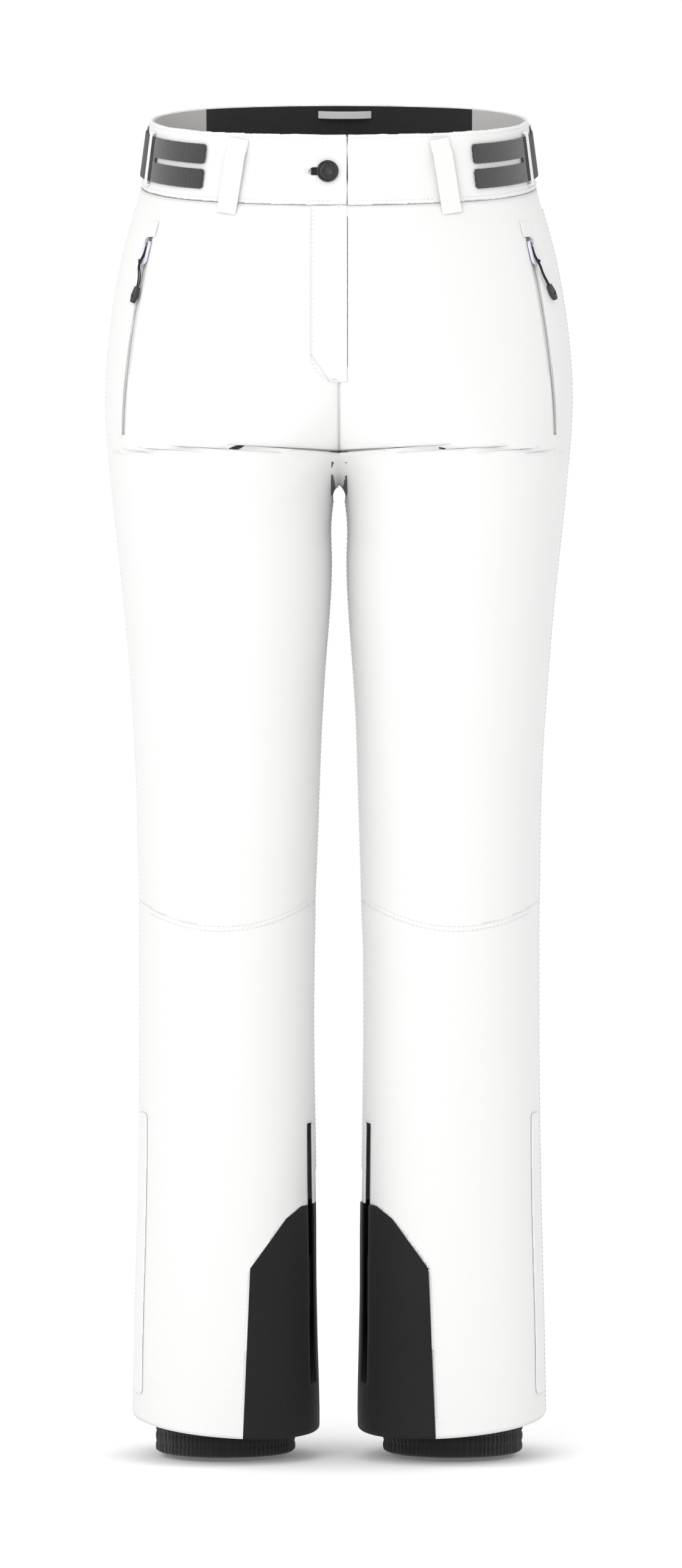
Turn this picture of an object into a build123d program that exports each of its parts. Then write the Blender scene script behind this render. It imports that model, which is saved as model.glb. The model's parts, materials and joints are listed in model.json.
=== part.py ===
"""Insulated ski pants as worn, empty, standing to their full length: an assembly of sewn panels,
waistband, zips, adjusters, button and snow gaiters.

Millimetres, +Z up, the front faces -Y and the wearer's left is +X. The origin is the centre of the
waist opening. The left half is drawn and the right half is its mirror image, apart from the fly.
"""

import os
from math import atan2, cos, degrees, pi, radians, sin, tan

from build123d import *

os.makedirs("parts", exist_ok=True)

# ---------------------------------------------------------------- driving dimensions
# waist ring: an oval of two side arcs and two flatter arcs, in a plane that drops to the front
waist_tilt = 13.2
waist_half_width = 150.0
waist_half_depth = 97.6
seam_half_width = 157.5
seam_half_depth = 109.0
side_arc_centre = 62.0  # distance of the side arcs' centres from the centre plane
band_height = 54.0

wall = 2.4  # shell, padding and lining together
side_seam_y = 4.0
roundness = 2.15  # exponent of the body's cross-sections, 2 is an ellipse

# body sections below the waist seam: height, outer edge, inner edge (negative is past the centre
# plane), depth in front of the side seam, depth behind it
hip_tilt = 6.6  # the first section is still tilted, by half as much as the waist
body_sections = [
    (-82, 164.4, -161.0, 101.5, 115),
    (-118, 173.6, -154.0, 105, 123),
    (-150, 179.3, -132.0, 108, 132),
    (-195, 184.0, -92.0, 113, 142),
    (-240, 184.6, -46.0, 116, 140),
    (-266, 182.8, -20.0, 115.5, 131),
    (-282, 181.4, -3.0, 114.5, 122),
    (-296, 180.2, 4.2, 113, 114),
    (-343, 175.5, 6.8, 108, 100),
    (-440, 166.3, 12.1, 98, 86),
    (-540, 160.4, 16.5, 92, 76),
    (-640, 158.5, 19.6, 88, 68),
    (-740, 158.2, 20.2, 81, 80),
    (-860, 159.6, 18.6, 76, 92),
    (-980, 162.5, 17.5, 77, 97),
    (-1052, 163.6, 17.2, 79, 98),
]
hem_middle = (90.0, 12.0, -1033.0)
hem_rise_outward = 0.075
hem_rise_back = 0.10
knee_seam = [(12.0, -619.0), (92.0, -643.0), (168.0, -617.0)]
back_knee_height = -619.0
guard_outline = [(14, -861), (30, -862), (42, -871), (70, -909), (78, -1100)]
gusset_half_width = 7.0
gusset_top = -268.0
gusset_bottom = -300.0

points_per_section = 24
section_start = 20.0  # angle of each section's first point, away from the seams
far = 400.0  # beyond the object on every side
gap = 0.3  # between pieces that move past or lie on each other

# waistband: the right end laps over the left one, with a tongue behind the joint
lap_edge = 6.3
tongue_from = -22.0
tongue_to = 20.0
tongue_thickness = 2.0
facing_thickness = 0.8
facing_split = 107.0  # where the dark back facing meets the pale side facings
facing_front_end = -22.0
hanger_from = -17.0
hanger_to = 26.0
hanger_width = 6.0
hanger_drop = 5.0
hanger_slack = 5.0

# belt loops
loop_width = 16.0
loop_thickness = 1.5
loop_clearance = 3.5
loop_pad = 6.0
front_loop_angle = -72.0
front_loop_lean = 7.0
loop_head_level = 0.5
front_foot_level = 3.4  # the hip stands out under the front loops
back_foot_level = 1.4
loop_foot_flare = 0.8
loop_above = 23.0
loop_below = 36.0

# button: a cap that turns on a tack riveted through the tongue
button_x = -9.0
button_drop = 28.0
cap_radius = 8.5
cap_thickness = 2.6
cap_clearance = 0.9
shank_radius = 2.3
pin_radius = 1.1
pin_play = 0.06
tack_radius = 4.5
tack_thickness = 1.0
buttonhole_length = 17.0
buttonhole_width = 5.4

# fly
fly_top = -84.0
fly_bottom = -206.0
fly_slot_half_width = 6.6
fly_lap_from = -22.0
fly_lap_thickness = 1.2
fly_lap_gap = 0.5
fly_lap_bottom = -216.0
shield_from = -15.0
shield_to = 21.0
shield_thickness = 1.4

# zips: measures across the zip and outward from the skin
tape_slit = 1.2
tape_half_width = 6.5
tape_level = -2.7
tape_thickness = 0.8
coil_width = 1.5
coil_height = 1.4
stop_length = 2.0
slider_half_width = 2.9
slider_plate = 1.2
slider_length = 9.0
slider_flange = 0.6
slider_neck = 0.6
peg_radius = 0.8
peg_play = 0.3
pull_tab_width = 4.6
pull_tab_length = 17.0
pull_tab_thickness = 0.8

# hand pocket zip: an arc over the hip, from its patch down to the thigh
pocket_top = (145.4, -86.0)  # x and height on the skin
pocket_bottom = (169.9, -257.0)
welt_half_width = 6.5
channel_half_width = 3.3
welt_thickness = 2.4
patch_length = 13.0
patch_thickness = 0.8
pocket_slider_start = 9.5
puller_pivot = 16.5
puller_length = 20.0
puller_width = 8.5
puller_window = 3.4
puller_thickness = 1.6
puller_bar_half = 0.7
puller_window_length = 13.5
puller_window_radius = 0.7
puller_level = 1.7
bail_half_width = 1.1
bail_inside = 1.2
bail_thickness = 0.8
bag_outline = [(62, -96), (140, -112), (158, -200), (160, -262), (120, -292), (66, -262)]
bag_level = -3.0
bag_thickness = 2.4

# pull cord and toggle
cord_diameter = 1.1
cord_routes = {
    "left": [
        (151.1, -50.9, -105.5), (152.2, -51.5, -109.8), (153.9, -52.5, -113.8),
        (156.0, -53.7, -117.7), (158.2, -52.9, -122.0), (160.0, -50.1, -127.2),
        (162.7, -47.4, -132.2), (165.4, -44.9, -136.8), (166.6, -43.9, -139.7),
        (167.5, -42.1, -138.4), (166.0, -43.7, -135.9), (163.3, -46.1, -131.1),
        (160.6, -48.8, -126.3), (158.9, -51.8, -121.3), (156.8, -52.4, -117.3),
        (154.7, -51.4, -113.7), (153.0, -50.4, -109.7), (151.9, -49.8, -105.5),
    ],
    "right": [
        (-151.1, -50.9, -105.6), (-152.2, -51.4, -109.8), (-154.0, -52.3, -113.8),
        (-155.9, -53.7, -117.5), (-157.2, -54.2, -121.9), (-156.4, -54.9, -127.4),
        (-156.6, -55.7, -133.5), (-158.4, -55.0, -138.9), (-159.3, -54.9, -142.1),
        (-160.6, -52.9, -141.5), (-159.4, -53.5, -138.5), (-158.2, -53.6, -133.3),
        (-157.8, -53.2, -127.6), (-158.2, -53.0, -121.9), (-156.8, -52.5, -117.4),
        (-154.9, -51.2, -113.7), (-153.1, -50.3, -109.7), (-151.9, -49.8, -105.5),
    ],
}
toggle_head_width = 4.0
toggle_width = 6.6
toggle_foot_width = 2.8
toggle_length = 13.0
toggle_widest = 7.5  # below the toggle's head
toggle_thickness = 3.2
toggle_hole_radius = 0.9
toggle_above_entry = 0.8

# waist adjuster: a strap that slides round the side of the waistband
strap_top = 9.5
strap_height = 35.0
strap_gap = 1.0
strap_thickness = 1.6
tab_front_angle = -62.5
tab_back_angle = -25.0
strap_back_angle = 28.0
finger_height = 15.6
finger_radius = 2.5
keeper_angle = -21.0
keeper_width = 4.6
keeper_thickness = 1.0
keeper_wall = 1.6
keeper_margin = 2.0
tunnel_from_angle = 10.0
tunnel_to_angle = 54.0

# lower leg zip, under a placket
leg_zip_y = -24.0
leg_zip_top = -794.0
leg_zip_bottom = -1006.0
leg_slot_half_width = 6.6
placket_half_width = 11.0
placket_gap = 0.5
placket_thickness = 1.2

# snow gaiter: centre, half width and half depth of its rings
gaiter_rings = [
    (-905.0, 89.3, 12.0, 67.3, 78.8),
    (-960.0, 89.5, 12.5, 66.0, 76.5),
    (-1010.0, 90.0, 12.0, 59.0, 66.0),
    (-1036.0, 90.5, 11.0, 55.5, 61.0),
]
gaiter_bottom = -1060.0
gaiter_thickness = 1.2
gaiter_elastic_thickness = 2.4


# ---------------------------------------------------------------- the two ring shapes
waist_plane = Plane(
    origin=(0, 0, 0),
    x_dir=(1, 0, 0),
    z_dir=(0, -sin(radians(waist_tilt)), cos(radians(waist_tilt))),
)
seam_plane = waist_plane.offset(-band_height)


def oval_arcs(half_width, half_depth):
    """Radii of an oval's side and front arcs, and the angle where they meet."""
    side = half_width - side_arc_centre
    drop = half_depth
    long = (side_arc_centre**2 + drop**2 - side**2) / (2 * (drop - side))
    return side, long, degrees(atan2(long - drop, side_arc_centre))


def oval_point(half_width, half_depth, grow, angle):
    """Point of the oval whose outward normal lies at the angle, counted from +x."""
    side, long, meet = oval_arcs(half_width, half_depth)
    turn = (angle + 180) % 360 - 180
    c, s = cos(radians(turn)), sin(radians(turn))
    if abs(turn) <= meet or abs(turn) >= 180 - meet:
        centre_x = side_arc_centre if abs(turn) <= meet else -side_arc_centre
        return (centre_x + (side + grow) * c, (side + grow) * s)
    centre_y = (half_depth - long) * (1 if turn > 0 else -1)
    return ((long + grow) * c, centre_y + (long + grow) * s)


def section_point(outer, inner, front, back, grow, angle):
    """Point of a body section at the angle, counted from +x."""
    c, s = cos(radians(angle)), sin(radians(angle))
    half = (outer - inner) / 2 + grow
    depth = (back if s > 0 else front) + grow
    power = 2 / roundness
    x = (outer + inner) / 2 + half * abs(c) ** power * (1 if c > 0 else -1)
    y = side_seam_y + depth * abs(s) ** power * (1 if s > 0 else -1)
    return (x, y)


def body_solid(grow):
    """One leg and the whole torso above it, filled, grown outward by the amount."""
    step = 360 / points_per_section
    angles = [section_start + step * i for i in range(points_per_section)]
    with BuildPart() as body:
        with BuildSketch(seam_plane):
            with BuildLine():
                ring = (seam_half_width, seam_half_depth, grow)
                Spline(*[oval_point(*ring, a) for a in angles], periodic=True)
            make_face()
        for height, outer, inner, front, back in body_sections:
            tilt = radians(hip_tilt if height == body_sections[0][0] else 0)
            level = Plane(origin=(0, 0, height), x_dir=(1, 0, 0), z_dir=(0, -sin(tilt), cos(tilt)))
            with BuildSketch(level):
                with BuildLine():
                    shape = (outer, inner, front, back, grow)
                    Spline(*[section_point(*shape, a) for a in angles], periodic=True)
                make_face()
        loft()
    return body.part




def save(piece, name):
    """Writes one named piece."""
    piece.label = name
    export_step(piece, f"parts/{name}.step")


def save_pair(piece, name):
    """Writes the drawn left piece and its mirror image on the right."""
    save(piece, name + "_left")
    save(mirror(piece, about=Plane.YZ, mode=Mode.PRIVATE), name + "_right")


def skin(low, high):
    """The left half's layer between two levels, counted outward from the outer surface."""
    with BuildPart() as layer:
        add(body_solid(high))
        add(body_solid(low), mode=Mode.SUBTRACT)
        split(bisect_by=Plane.YZ, keep=Keep.TOP)
        split(bisect_by=hem_plane, keep=Keep.TOP)
    return layer.part


def front_prism(outline, back=side_seam_y, front=-far):
    """A front-view outline run through between two depths."""
    with BuildPart() as prism:
        with BuildSketch(Plane.XZ.offset(-back)):
            with BuildLine():
                Polyline(*outline, close=True)
            make_face()
        extrude(amount=back - front)
    return prism.part


hem_plane = Plane(origin=hem_middle, z_dir=(-hem_rise_outward, -hem_rise_back, 1))
skin_body = body_solid(0)
shell = skin(-wall, 0)


def skin_hit(x, height):
    """Point and outward normal of the front skin at an x and a height."""
    ray = Axis((x, -far, height), (0, 1, 0))
    hits = [hit for face in skin_body.faces() for hit in face.find_intersection_points(ray)]
    return min(hits, key=lambda hit: hit[0].Y)


# ---------------------------------------------------------------- the two fly and leg zip frames
def zip_frame(top, bottom, normal):
    """Plane at a zip's top: x across, y up along the zip, z outward."""
    up = (top - bottom).normalized()
    outward = (normal - up * normal.dot(up)).normalized()
    return Plane(origin=top, x_dir=up.cross(outward), z_dir=outward)


fly_top_point = skin_hit(0.01, fly_top)[0]
fly_bottom_point = skin_hit(0.01, fly_bottom)[0]
fly_frame = zip_frame(fly_top_point, fly_bottom_point, Vector(0, -1, 0))
fly_length = (fly_top_point - fly_bottom_point).length


def side_hit(y, height):
    """Point and outward normal of the left side's skin at a y and a height."""
    ray = Axis((far, y, height), (-1, 0, 0))
    hits = [hit for face in skin_body.faces() for hit in face.find_intersection_points(ray)]
    return max(hits, key=lambda hit: hit[0].X)


leg_top_point, leg_top_normal = side_hit(leg_zip_y, leg_zip_top)
leg_bottom_point, leg_bottom_normal = side_hit(leg_zip_y, leg_zip_bottom)
leg_frame = zip_frame(leg_top_point, leg_bottom_point, leg_top_normal + leg_bottom_normal)
leg_zip_length = (leg_top_point - leg_bottom_point).length


# ---------------------------------------------------------------- the pocket zip's arc
def pocket_arc():
    """Centre, axis, outward and downward directions of the arc the zip follows, and its sizes."""
    top = skin_hit(*pocket_top)[0]
    bottom = skin_hit(*pocket_bottom)[0]
    middle = (top + bottom) / 2
    chord = bottom - top
    down = chord.normalized()
    normal = skin_hit(middle.X, middle.Z)[1] + skin_hit(*pocket_top)[1]
    normal = normal + skin_hit(*pocket_bottom)[1]
    outward = (normal - down * normal.dot(down)).normalized()
    ray = Axis(middle, outward)
    hits = [hit[0] for face in skin_body.faces() for hit in face.find_intersection_points(ray)]
    rise = max((hit - middle).dot(outward) for hit in hits)
    radius = (chord.length**2 / 4 + rise**2) / (2 * rise)
    centre = middle + outward * (rise - radius)
    radial = (top - centre).normalized()
    axis = outward.cross(down)
    return centre, axis, radial, axis.cross(radial), radius, chord.length


arc_centre, arc_axis, arc_radial, arc_down, arc_radius, arc_chord = pocket_arc()
arc_degree = radians(1) * arc_radius  # millimetres along the zip for each degree
pocket_length = 2 * degrees(atan2(arc_chord / 2, (arc_radius**2 - arc_chord**2 / 4) ** 0.5))
pocket_length = pocket_length * arc_degree


def pocket_radial(along):
    """Outward direction at a distance along the zip."""
    turn = radians(along / arc_degree)
    return arc_radial * cos(turn) + arc_down * sin(turn)


def pocket_frame(along):
    """Plane on the skin at a distance along the zip: x across, y up, z outward."""
    outward = pocket_radial(along)
    return Plane(origin=arc_centre + outward * arc_radius, x_dir=arc_axis, z_dir=outward)


def pocket_bar(low_x, high_x, low, high, start, length):
    """A bar that follows the zip's arc, from low_x to high_x across and between two levels."""
    outward = pocket_radial(start)
    profile = Plane(origin=arc_centre, x_dir=arc_axis, z_dir=arc_axis.cross(outward))
    with BuildPart() as bar:
        with BuildSketch(profile):
            with Locations(((low_x + high_x) / 2, arc_radius + (low + high) / 2)):
                Rectangle(high_x - low_x, high - low)
        revolve(axis=Axis(arc_centre, arc_axis), revolution_arc=length / arc_degree)
    return bar.part


# ---------------------------------------------------------------- trouser panels
side_plane_cut = Plane(origin=(0, side_seam_y, 0), z_dir=(0, 1, 0))
shell_front = split(shell, bisect_by=side_plane_cut, keep=Keep.BOTTOM, mode=Mode.PRIVATE)
shell_back = split(shell, bisect_by=side_plane_cut, keep=Keep.TOP, mode=Mode.PRIVATE)


def above_knee():
    """Front-view solid above the curved knee seam, in front of the side seam."""
    (inner_x, inner_z), _, (outer_x, outer_z) = knee_seam
    with BuildPart() as prism:
        with BuildSketch(Plane.XZ.offset(-side_seam_y)):
            with BuildLine():
                ThreePointArc(*knee_seam)
                Polyline((outer_x, outer_z), (far, outer_z), (far, far), (-1, far),
                         (-1, inner_z), (inner_x, inner_z))
            make_face()
        extrude(amount=far)
    return prism.part


def gusset_block():
    """The space the crotch gusset takes."""
    with BuildPart() as block:
        with Locations((0, 0, (gusset_top + gusset_bottom) / 2)):
            Box(2 * gusset_half_width, 2 * far, gusset_top - gusset_bottom)
    return block.part


def slot_block(frame, half_width, length, above, below):
    """A slot through the wall along a straight zip."""
    with BuildPart() as block:
        with BuildSketch(frame.offset(-12)):
            with Locations((0, (above - below - length) / 2)):
                Rectangle(2 * half_width, length + above + below)
        extrude(amount=24)
    return block.part


gusset_space = gusset_block()
guard_prism = front_prism([(-1, -far * 3), (-1, guard_outline[0][1])] + guard_outline, back=far)
fly_slot = slot_block(fly_frame, fly_slot_half_width, fly_length, 40, 3)
leg_slot = slot_block(leg_frame, leg_slot_half_width, leg_zip_length, 3, 3)
slot_end = welt_half_width + gap
pocket_slot = pocket_bar(-slot_end, slot_end, -12, 12, -gap, pocket_length + 2 * gap)

with BuildPart() as front_panel:
    add(shell_front)
    add(above_knee(), mode=Mode.INTERSECT)
    for space in (gusset_space, fly_slot, pocket_slot):
        add(space, mode=Mode.SUBTRACT)
save_pair(front_panel.part, "front_panel")

with BuildPart() as shin_panel:
    add(shell_front)
    for space in (above_knee(), guard_prism, leg_slot):
        add(space, mode=Mode.SUBTRACT)
save_pair(shin_panel.part, "shin_panel")

back_knee = Plane(origin=(0, 0, back_knee_height))
with BuildPart() as back_panel:
    add(shell_back)
    split(bisect_by=back_knee, keep=Keep.TOP)
    add(gusset_space, mode=Mode.SUBTRACT)
save_pair(back_panel.part, "back_panel")

with BuildPart() as calf_panel:
    add(shell_back)
    split(bisect_by=back_knee, keep=Keep.BOTTOM)
    add(guard_prism, mode=Mode.SUBTRACT)
save_pair(calf_panel.part, "calf_panel")

with BuildPart() as scuff_guard:
    add(shell)
    add(guard_prism, mode=Mode.INTERSECT)
save_pair(scuff_guard.part, "scuff_guard")

with BuildPart() as crotch_gusset:
    add(shell)
    add(gusset_space, mode=Mode.INTERSECT)
    mirror(about=Plane.YZ)
save(crotch_gusset.part, "crotch_gusset")


# ---------------------------------------------------------------- waistband
def band_ring(grow, drop):
    """A face of the band's oval, grown outward, at a drop below the waist's top edge."""
    share = drop / band_height
    half_width = waist_half_width + (seam_half_width - waist_half_width) * share
    half_depth = waist_half_depth + (seam_half_depth - waist_half_depth) * share
    side, long, meet = oval_arcs(half_width, half_depth)
    arcs = [
        ((side_arc_centre, 0), side, -meet, 2 * meet),
        ((0, half_depth - long), long, meet, 180 - 2 * meet),
        ((-side_arc_centre, 0), side, 180 - meet, 2 * meet),
        ((0, long - half_depth), long, 180 + meet, 180 - 2 * meet),
    ]
    with BuildSketch(waist_plane.offset(-drop)) as ring:
        with BuildLine():
            for centre, radius, start, size in arcs:
                CenterArc(centre, radius + grow, start, size)
        make_face()
    return ring.sketch


def band_layer(low, high, top=0.0, bottom=band_height):
    """The band's layer between two levels, counted outward, between two drops."""
    with BuildPart() as layer:
        loft([band_ring(high, top), band_ring(high, bottom)], ruled=True)
        loft([band_ring(low, top), band_ring(low, bottom)], ruled=True, mode=Mode.SUBTRACT)
    return layer.part


def band_piece(layer, from_x, to_x, from_y, to_y):
    """The part of a band layer inside a box seen along the waist opening."""
    with BuildPart() as piece:
        add(layer)
        with BuildSketch(waist_plane.offset(-2 * band_height)):
            with Locations(((from_x + to_x) / 2, (from_y + to_y) / 2)):
                Rectangle(to_x - from_x, to_y - from_y)
        extrude(amount=3 * band_height, mode=Mode.INTERSECT)
    return piece.part


band_wall = band_layer(-wall, 0)
facing_layer = band_layer(-wall - gap - facing_thickness, -wall - gap, 1.0, band_height - 1.0)
tongue_level = -wall - gap
tongue_layer = band_layer(tongue_level - tongue_thickness, tongue_level, 1.0, band_height - 1.0)

# ---------------------------------------------------------------- button and buttonhole
button_plane = Plane(
    origin=waist_plane.offset(-button_drop).from_local_coords(
        (button_x, -(waist_half_depth + seam_half_depth) / 2, 0)
    ),
    x_dir=(1, 0, 0),
    z_dir=(0, -1, 0),
)

with BuildPart() as waistband_front_right:
    add(band_piece(band_wall, -far, lap_edge, -far, 0))
    with BuildSketch(button_plane.offset(-10)):
        slot_shift = (buttonhole_length - buttonhole_width) / 2
        with Locations((-slot_shift, 0)):
            SlotOverall(buttonhole_length, buttonhole_width)
    extrude(amount=20, mode=Mode.SUBTRACT)
save(waistband_front_right.part, "waistband_front_right")
save(band_piece(band_wall, lap_edge + gap, far, -far, 0), "waistband_front_left")
save(band_piece(band_wall, -far, far, 0, far), "waistband_back")
save(band_piece(facing_layer, -facing_split, facing_split, 0, far), "waist_facing_back")
with BuildPart() as waist_facing_sides:
    add(band_piece(facing_layer, facing_split + gap, far, facing_front_end, far))
    mirror(about=Plane.YZ)
save(waist_facing_sides.part, "waist_facing_sides")
with BuildPart() as waist_tongue:
    add(band_piece(tongue_layer, tongue_from, tongue_to, -far, 0))
    with BuildSketch(button_plane.offset(-20)):
        Circle(pin_radius + pin_play)
    extrude(amount=40, mode=Mode.SUBTRACT)
save(waist_tongue.part, "waist_tongue")

with BuildPart() as button_cap:
    with BuildSketch(button_plane.offset(cap_clearance)):
        Circle(cap_radius)
    extrude(amount=cap_thickness)
    chamfer(button_cap.faces().sort_by(Axis.Y)[0].edges(), 0.7)
    with BuildSketch(button_plane.offset(cap_clearance + cap_thickness - 0.7)):
        Circle(cap_radius * 0.62)
    extrude(amount=1.0, mode=Mode.SUBTRACT)
    with BuildSketch(button_plane.offset(-wall)):
        Circle(shank_radius)
    extrude(amount=wall + cap_clearance)
    with BuildSketch(button_plane.offset(-wall)):
        Circle(pin_radius + pin_play)
    extrude(amount=wall + cap_clearance, mode=Mode.SUBTRACT)
save(button_cap.part, "button_cap")

tack_level = -wall - gap - tongue_thickness - 1.0
with BuildPart() as button_tack:
    with BuildSketch(button_plane.offset(tack_level - tack_thickness)):
        Circle(tack_radius)
    extrude(amount=tack_thickness)
    with BuildSketch(button_plane.offset(tack_level)):
        Circle(pin_radius)
    extrude(amount=-tack_level + cap_clearance - gap)
save(button_tack.part, "button_tack")


# ---------------------------------------------------------------- hanger loop
def hanger_loop():
    """A flat ribbon sewn inside the centre back, bowed off the facing between its ends."""
    drop = hanger_drop + hanger_width / 2
    share = drop / band_height
    back_y = waist_half_depth + (seam_half_depth - waist_half_depth) * share
    face = back_y - wall - 3 * gap - facing_thickness
    middle = (hanger_from + hanger_to) / 2
    end_fall = hanger_to**2 / (2 * oval_arcs(waist_half_width, waist_half_depth)[1])
    with BuildPart() as ribbon:
        with BuildSketch(waist_plane.offset(-hanger_drop - hanger_width)):
            with BuildLine():
                outer_ends = face - end_fall
                ThreePointArc(
                    (hanger_from, outer_ends), (middle, outer_ends - hanger_slack + 1),
                    (hanger_to, outer_ends),
                )
                ThreePointArc(
                    (hanger_from, outer_ends - 1), (middle, outer_ends - hanger_slack),
                    (hanger_to, outer_ends - 1),
                )
                Line((hanger_from, outer_ends), (hanger_from, outer_ends - 1))
                Line((hanger_to, outer_ends), (hanger_to, outer_ends - 1))
            make_face()
        extrude(amount=hanger_width)
    return ribbon.part


save(hanger_loop(), "hanger_loop")


# ---------------------------------------------------------------- belt loops
def band_direction(x, y, z=0.0):
    """A direction given along the waist opening's own axes."""
    return waist_plane.x_dir * x + waist_plane.y_dir * y + waist_plane.z_dir * z


def loop_profile(angle, lean):
    """Plane of a belt loop's side profile, at an angle round the band: x outward, y up."""
    half_width = (waist_half_width + seam_half_width) / 2
    half_depth = (waist_half_depth + seam_half_depth) / 2
    foot = oval_point(half_width, half_depth, 0, angle)
    middle = waist_plane.offset(-band_height / 2).from_local_coords((*foot, 0))
    flare = atan2(seam_half_width - waist_half_width, band_height)
    level = band_direction(cos(radians(angle)), sin(radians(angle)))
    outward = level * cos(flare) + band_direction(0, 0, sin(flare))
    rise = band_direction(0, 0, cos(flare)) - level * sin(flare)
    across = outward.cross(rise)
    up = rise * cos(radians(lean)) + across * sin(radians(lean))
    across = outward.cross(up)
    return Plane(origin=middle - across * (loop_width / 2), x_dir=outward, z_dir=across)


def belt_loop(angle, lean, foot_level):
    """A loop that stands off the band and is sewn down above and below the belt."""
    inside = [
        (loop_head_level, loop_above),
        (loop_head_level, loop_above - loop_pad),
        (loop_clearance, loop_above - 2 * loop_pad),
        (loop_clearance, -loop_below + 2 * loop_pad),
        (foot_level, -loop_below + loop_pad),
        (foot_level + loop_foot_flare, -loop_below),
    ]
    outside = [(x + loop_thickness, z) for x, z in reversed(inside)]
    with BuildPart() as loop:
        with BuildSketch(loop_profile(angle, lean)):
            with BuildLine():
                Polyline(*inside, *outside, close=True)
            make_face()
        extrude(amount=loop_width)
    return loop.part


save_pair(belt_loop(front_loop_angle, front_loop_lean, front_foot_level), "belt_loop_front")
save(belt_loop(90.0, 0.0, back_foot_level), "belt_loop_back")


# ---------------------------------------------------------------- zips
def zip_stretches():
    """Across and outward spans of a zip's tape and coil on its +x side."""
    near = tape_slit / 2
    tape = (near, tape_half_width, tape_level - tape_thickness, tape_level)
    coil = (near, near + coil_width, tape_level - tape_thickness - coil_height,
            tape_level - tape_thickness)
    return tape, coil


def slider_stretches():
    """Across and outward spans of a zip slider's plates and flanges."""
    top = tape_level + gap
    bottom = tape_level - tape_thickness - coil_height - gap
    flange_in = tape_slit / 2 + coil_width + gap
    flange_out = flange_in + slider_flange
    plates = [
        (-slider_half_width, slider_half_width, top, top + slider_plate),
        (-flange_out, flange_out, bottom - slider_plate, bottom),
    ]
    flanges = [
        (side * flange_in, side * flange_out, bottom, bottom + coil_height)
        for side in (-1, 1)
    ]
    neck = (-slider_neck / 2, slider_neck / 2, bottom, top)
    return plates + flanges, neck


def straight_bar(frame, low_x, high_x, low, high, start, length):
    """A bar along a straight zip, measured down from its top."""
    with BuildPart() as bar:
        with BuildSketch(frame.offset(low)):
            with Locations(((low_x + high_x) / 2, -start - length / 2)):
                Rectangle(abs(high_x - low_x), length)
        extrude(amount=high - low)
    return bar.part


def zip_tape(bar, length):
    """Two tapes with a coil along each inner edge, joined by a stop at either end."""
    with BuildPart() as tape:
        for low_x, high_x, low, high in zip_stretches():
            add(bar(low_x, high_x, low, high, 0, length))
            add(bar(-high_x, -low_x, low, high, 0, length))
        low = tape_level - tape_thickness - coil_height
        reach = tape_slit / 2 + coil_width
        for start in (0, length - stop_length):
            add(bar(-reach, reach, low, tape_level, start, stop_length))
    return tape.part


def zip_slider(bar, start):
    """Slider whose two plates hold the coils, joined by a blade in the slit."""
    spans, neck = slider_stretches()
    with BuildPart() as slider:
        for low_x, high_x, low, high in spans:
            add(bar(min(low_x, high_x), max(low_x, high_x), low, high, start, slider_length))
        add(bar(*neck, start, slider_length * 0.5))
    return slider.part


def hidden_slider(frame, start):
    """A slider with a peg on a tongue below it, for a flat pull tab."""
    top = tape_level + gap + slider_plate
    tab_low = tape_level + gap
    peg_at = start + slider_length + 2.2
    with BuildPart() as slider:
        add(zip_slider(lambda *span: straight_bar(frame, *span), start))
        tongue = (-1.4, 1.4, tab_low + pull_tab_thickness + gap, top + 0.8)
        add(straight_bar(frame, *tongue, start + slider_length - 3, 6.4))
        with BuildSketch(frame.offset(tab_low - gap / 3)):
            with Locations((0, -peg_at)):
                Circle(peg_radius)
        extrude(amount=tongue[2] - tab_low + gap)
    return slider.part


def pull_tab(frame, start):
    """A flat pull tab hanging from the slider's peg."""
    peg_at = start + slider_length + 2.2
    top_y = -(start + slider_length + gap)
    with BuildPart() as tab:
        with BuildSketch(frame.offset(tape_level + gap)):
            with Locations((0, top_y - pull_tab_length / 2)):
                RectangleRounded(pull_tab_width, pull_tab_length, 1.8)
            with Locations((0, -peg_at)):
                Circle(peg_radius + peg_play, mode=Mode.SUBTRACT)
        extrude(amount=pull_tab_thickness)
    return tab.part


# ---------------------------------------------------------------- fly
def fly_bar(*span):
    return straight_bar(fly_frame, *span)


fly_slider_start = 4.0
save(zip_tape(fly_bar, fly_length), "fly_zip_tape")
with BuildPart() as fly_zip_slider:
    add(hidden_slider(fly_frame, fly_slider_start))
    add(pull_tab(fly_frame, fly_slider_start))
save(fly_zip_slider.part, "fly_zip_slider")

with BuildPart() as fly_lap:
    half_lap = skin(fly_lap_gap, fly_lap_gap + fly_lap_thickness)
    add(half_lap)
    mirror(about=Plane.YZ)
    fly_outline = [
        (fly_lap_from, fly_top + 8), (lap_edge, fly_top + 8), (lap_edge, fly_lap_bottom),
        (fly_lap_from * 0.3, fly_lap_bottom), (fly_lap_from, fly_lap_bottom + 22),
    ]
    add(front_prism(fly_outline, back=-20), mode=Mode.INTERSECT)
save(fly_lap.part, "fly_lap")

shield_level = tape_level - tape_thickness - coil_height - 2 * gap - slider_plate
with BuildPart() as fly_shield:
    shield_span = (shield_level - shield_thickness, shield_level)
    add(straight_bar(fly_frame, shield_from, shield_to, *shield_span, 0, fly_length))
    seam_span = (shield_level - shield_thickness, tape_level - gap)
    add(straight_bar(fly_frame, shield_to - 6, shield_to, *seam_span, 0, fly_length))
save(fly_shield.part, "fly_shield")

# ---------------------------------------------------------------- lower leg zips
leg_slider_start = leg_zip_length - slider_length - 22.0


def leg_bar(*span):
    return straight_bar(leg_frame, *span)


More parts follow.
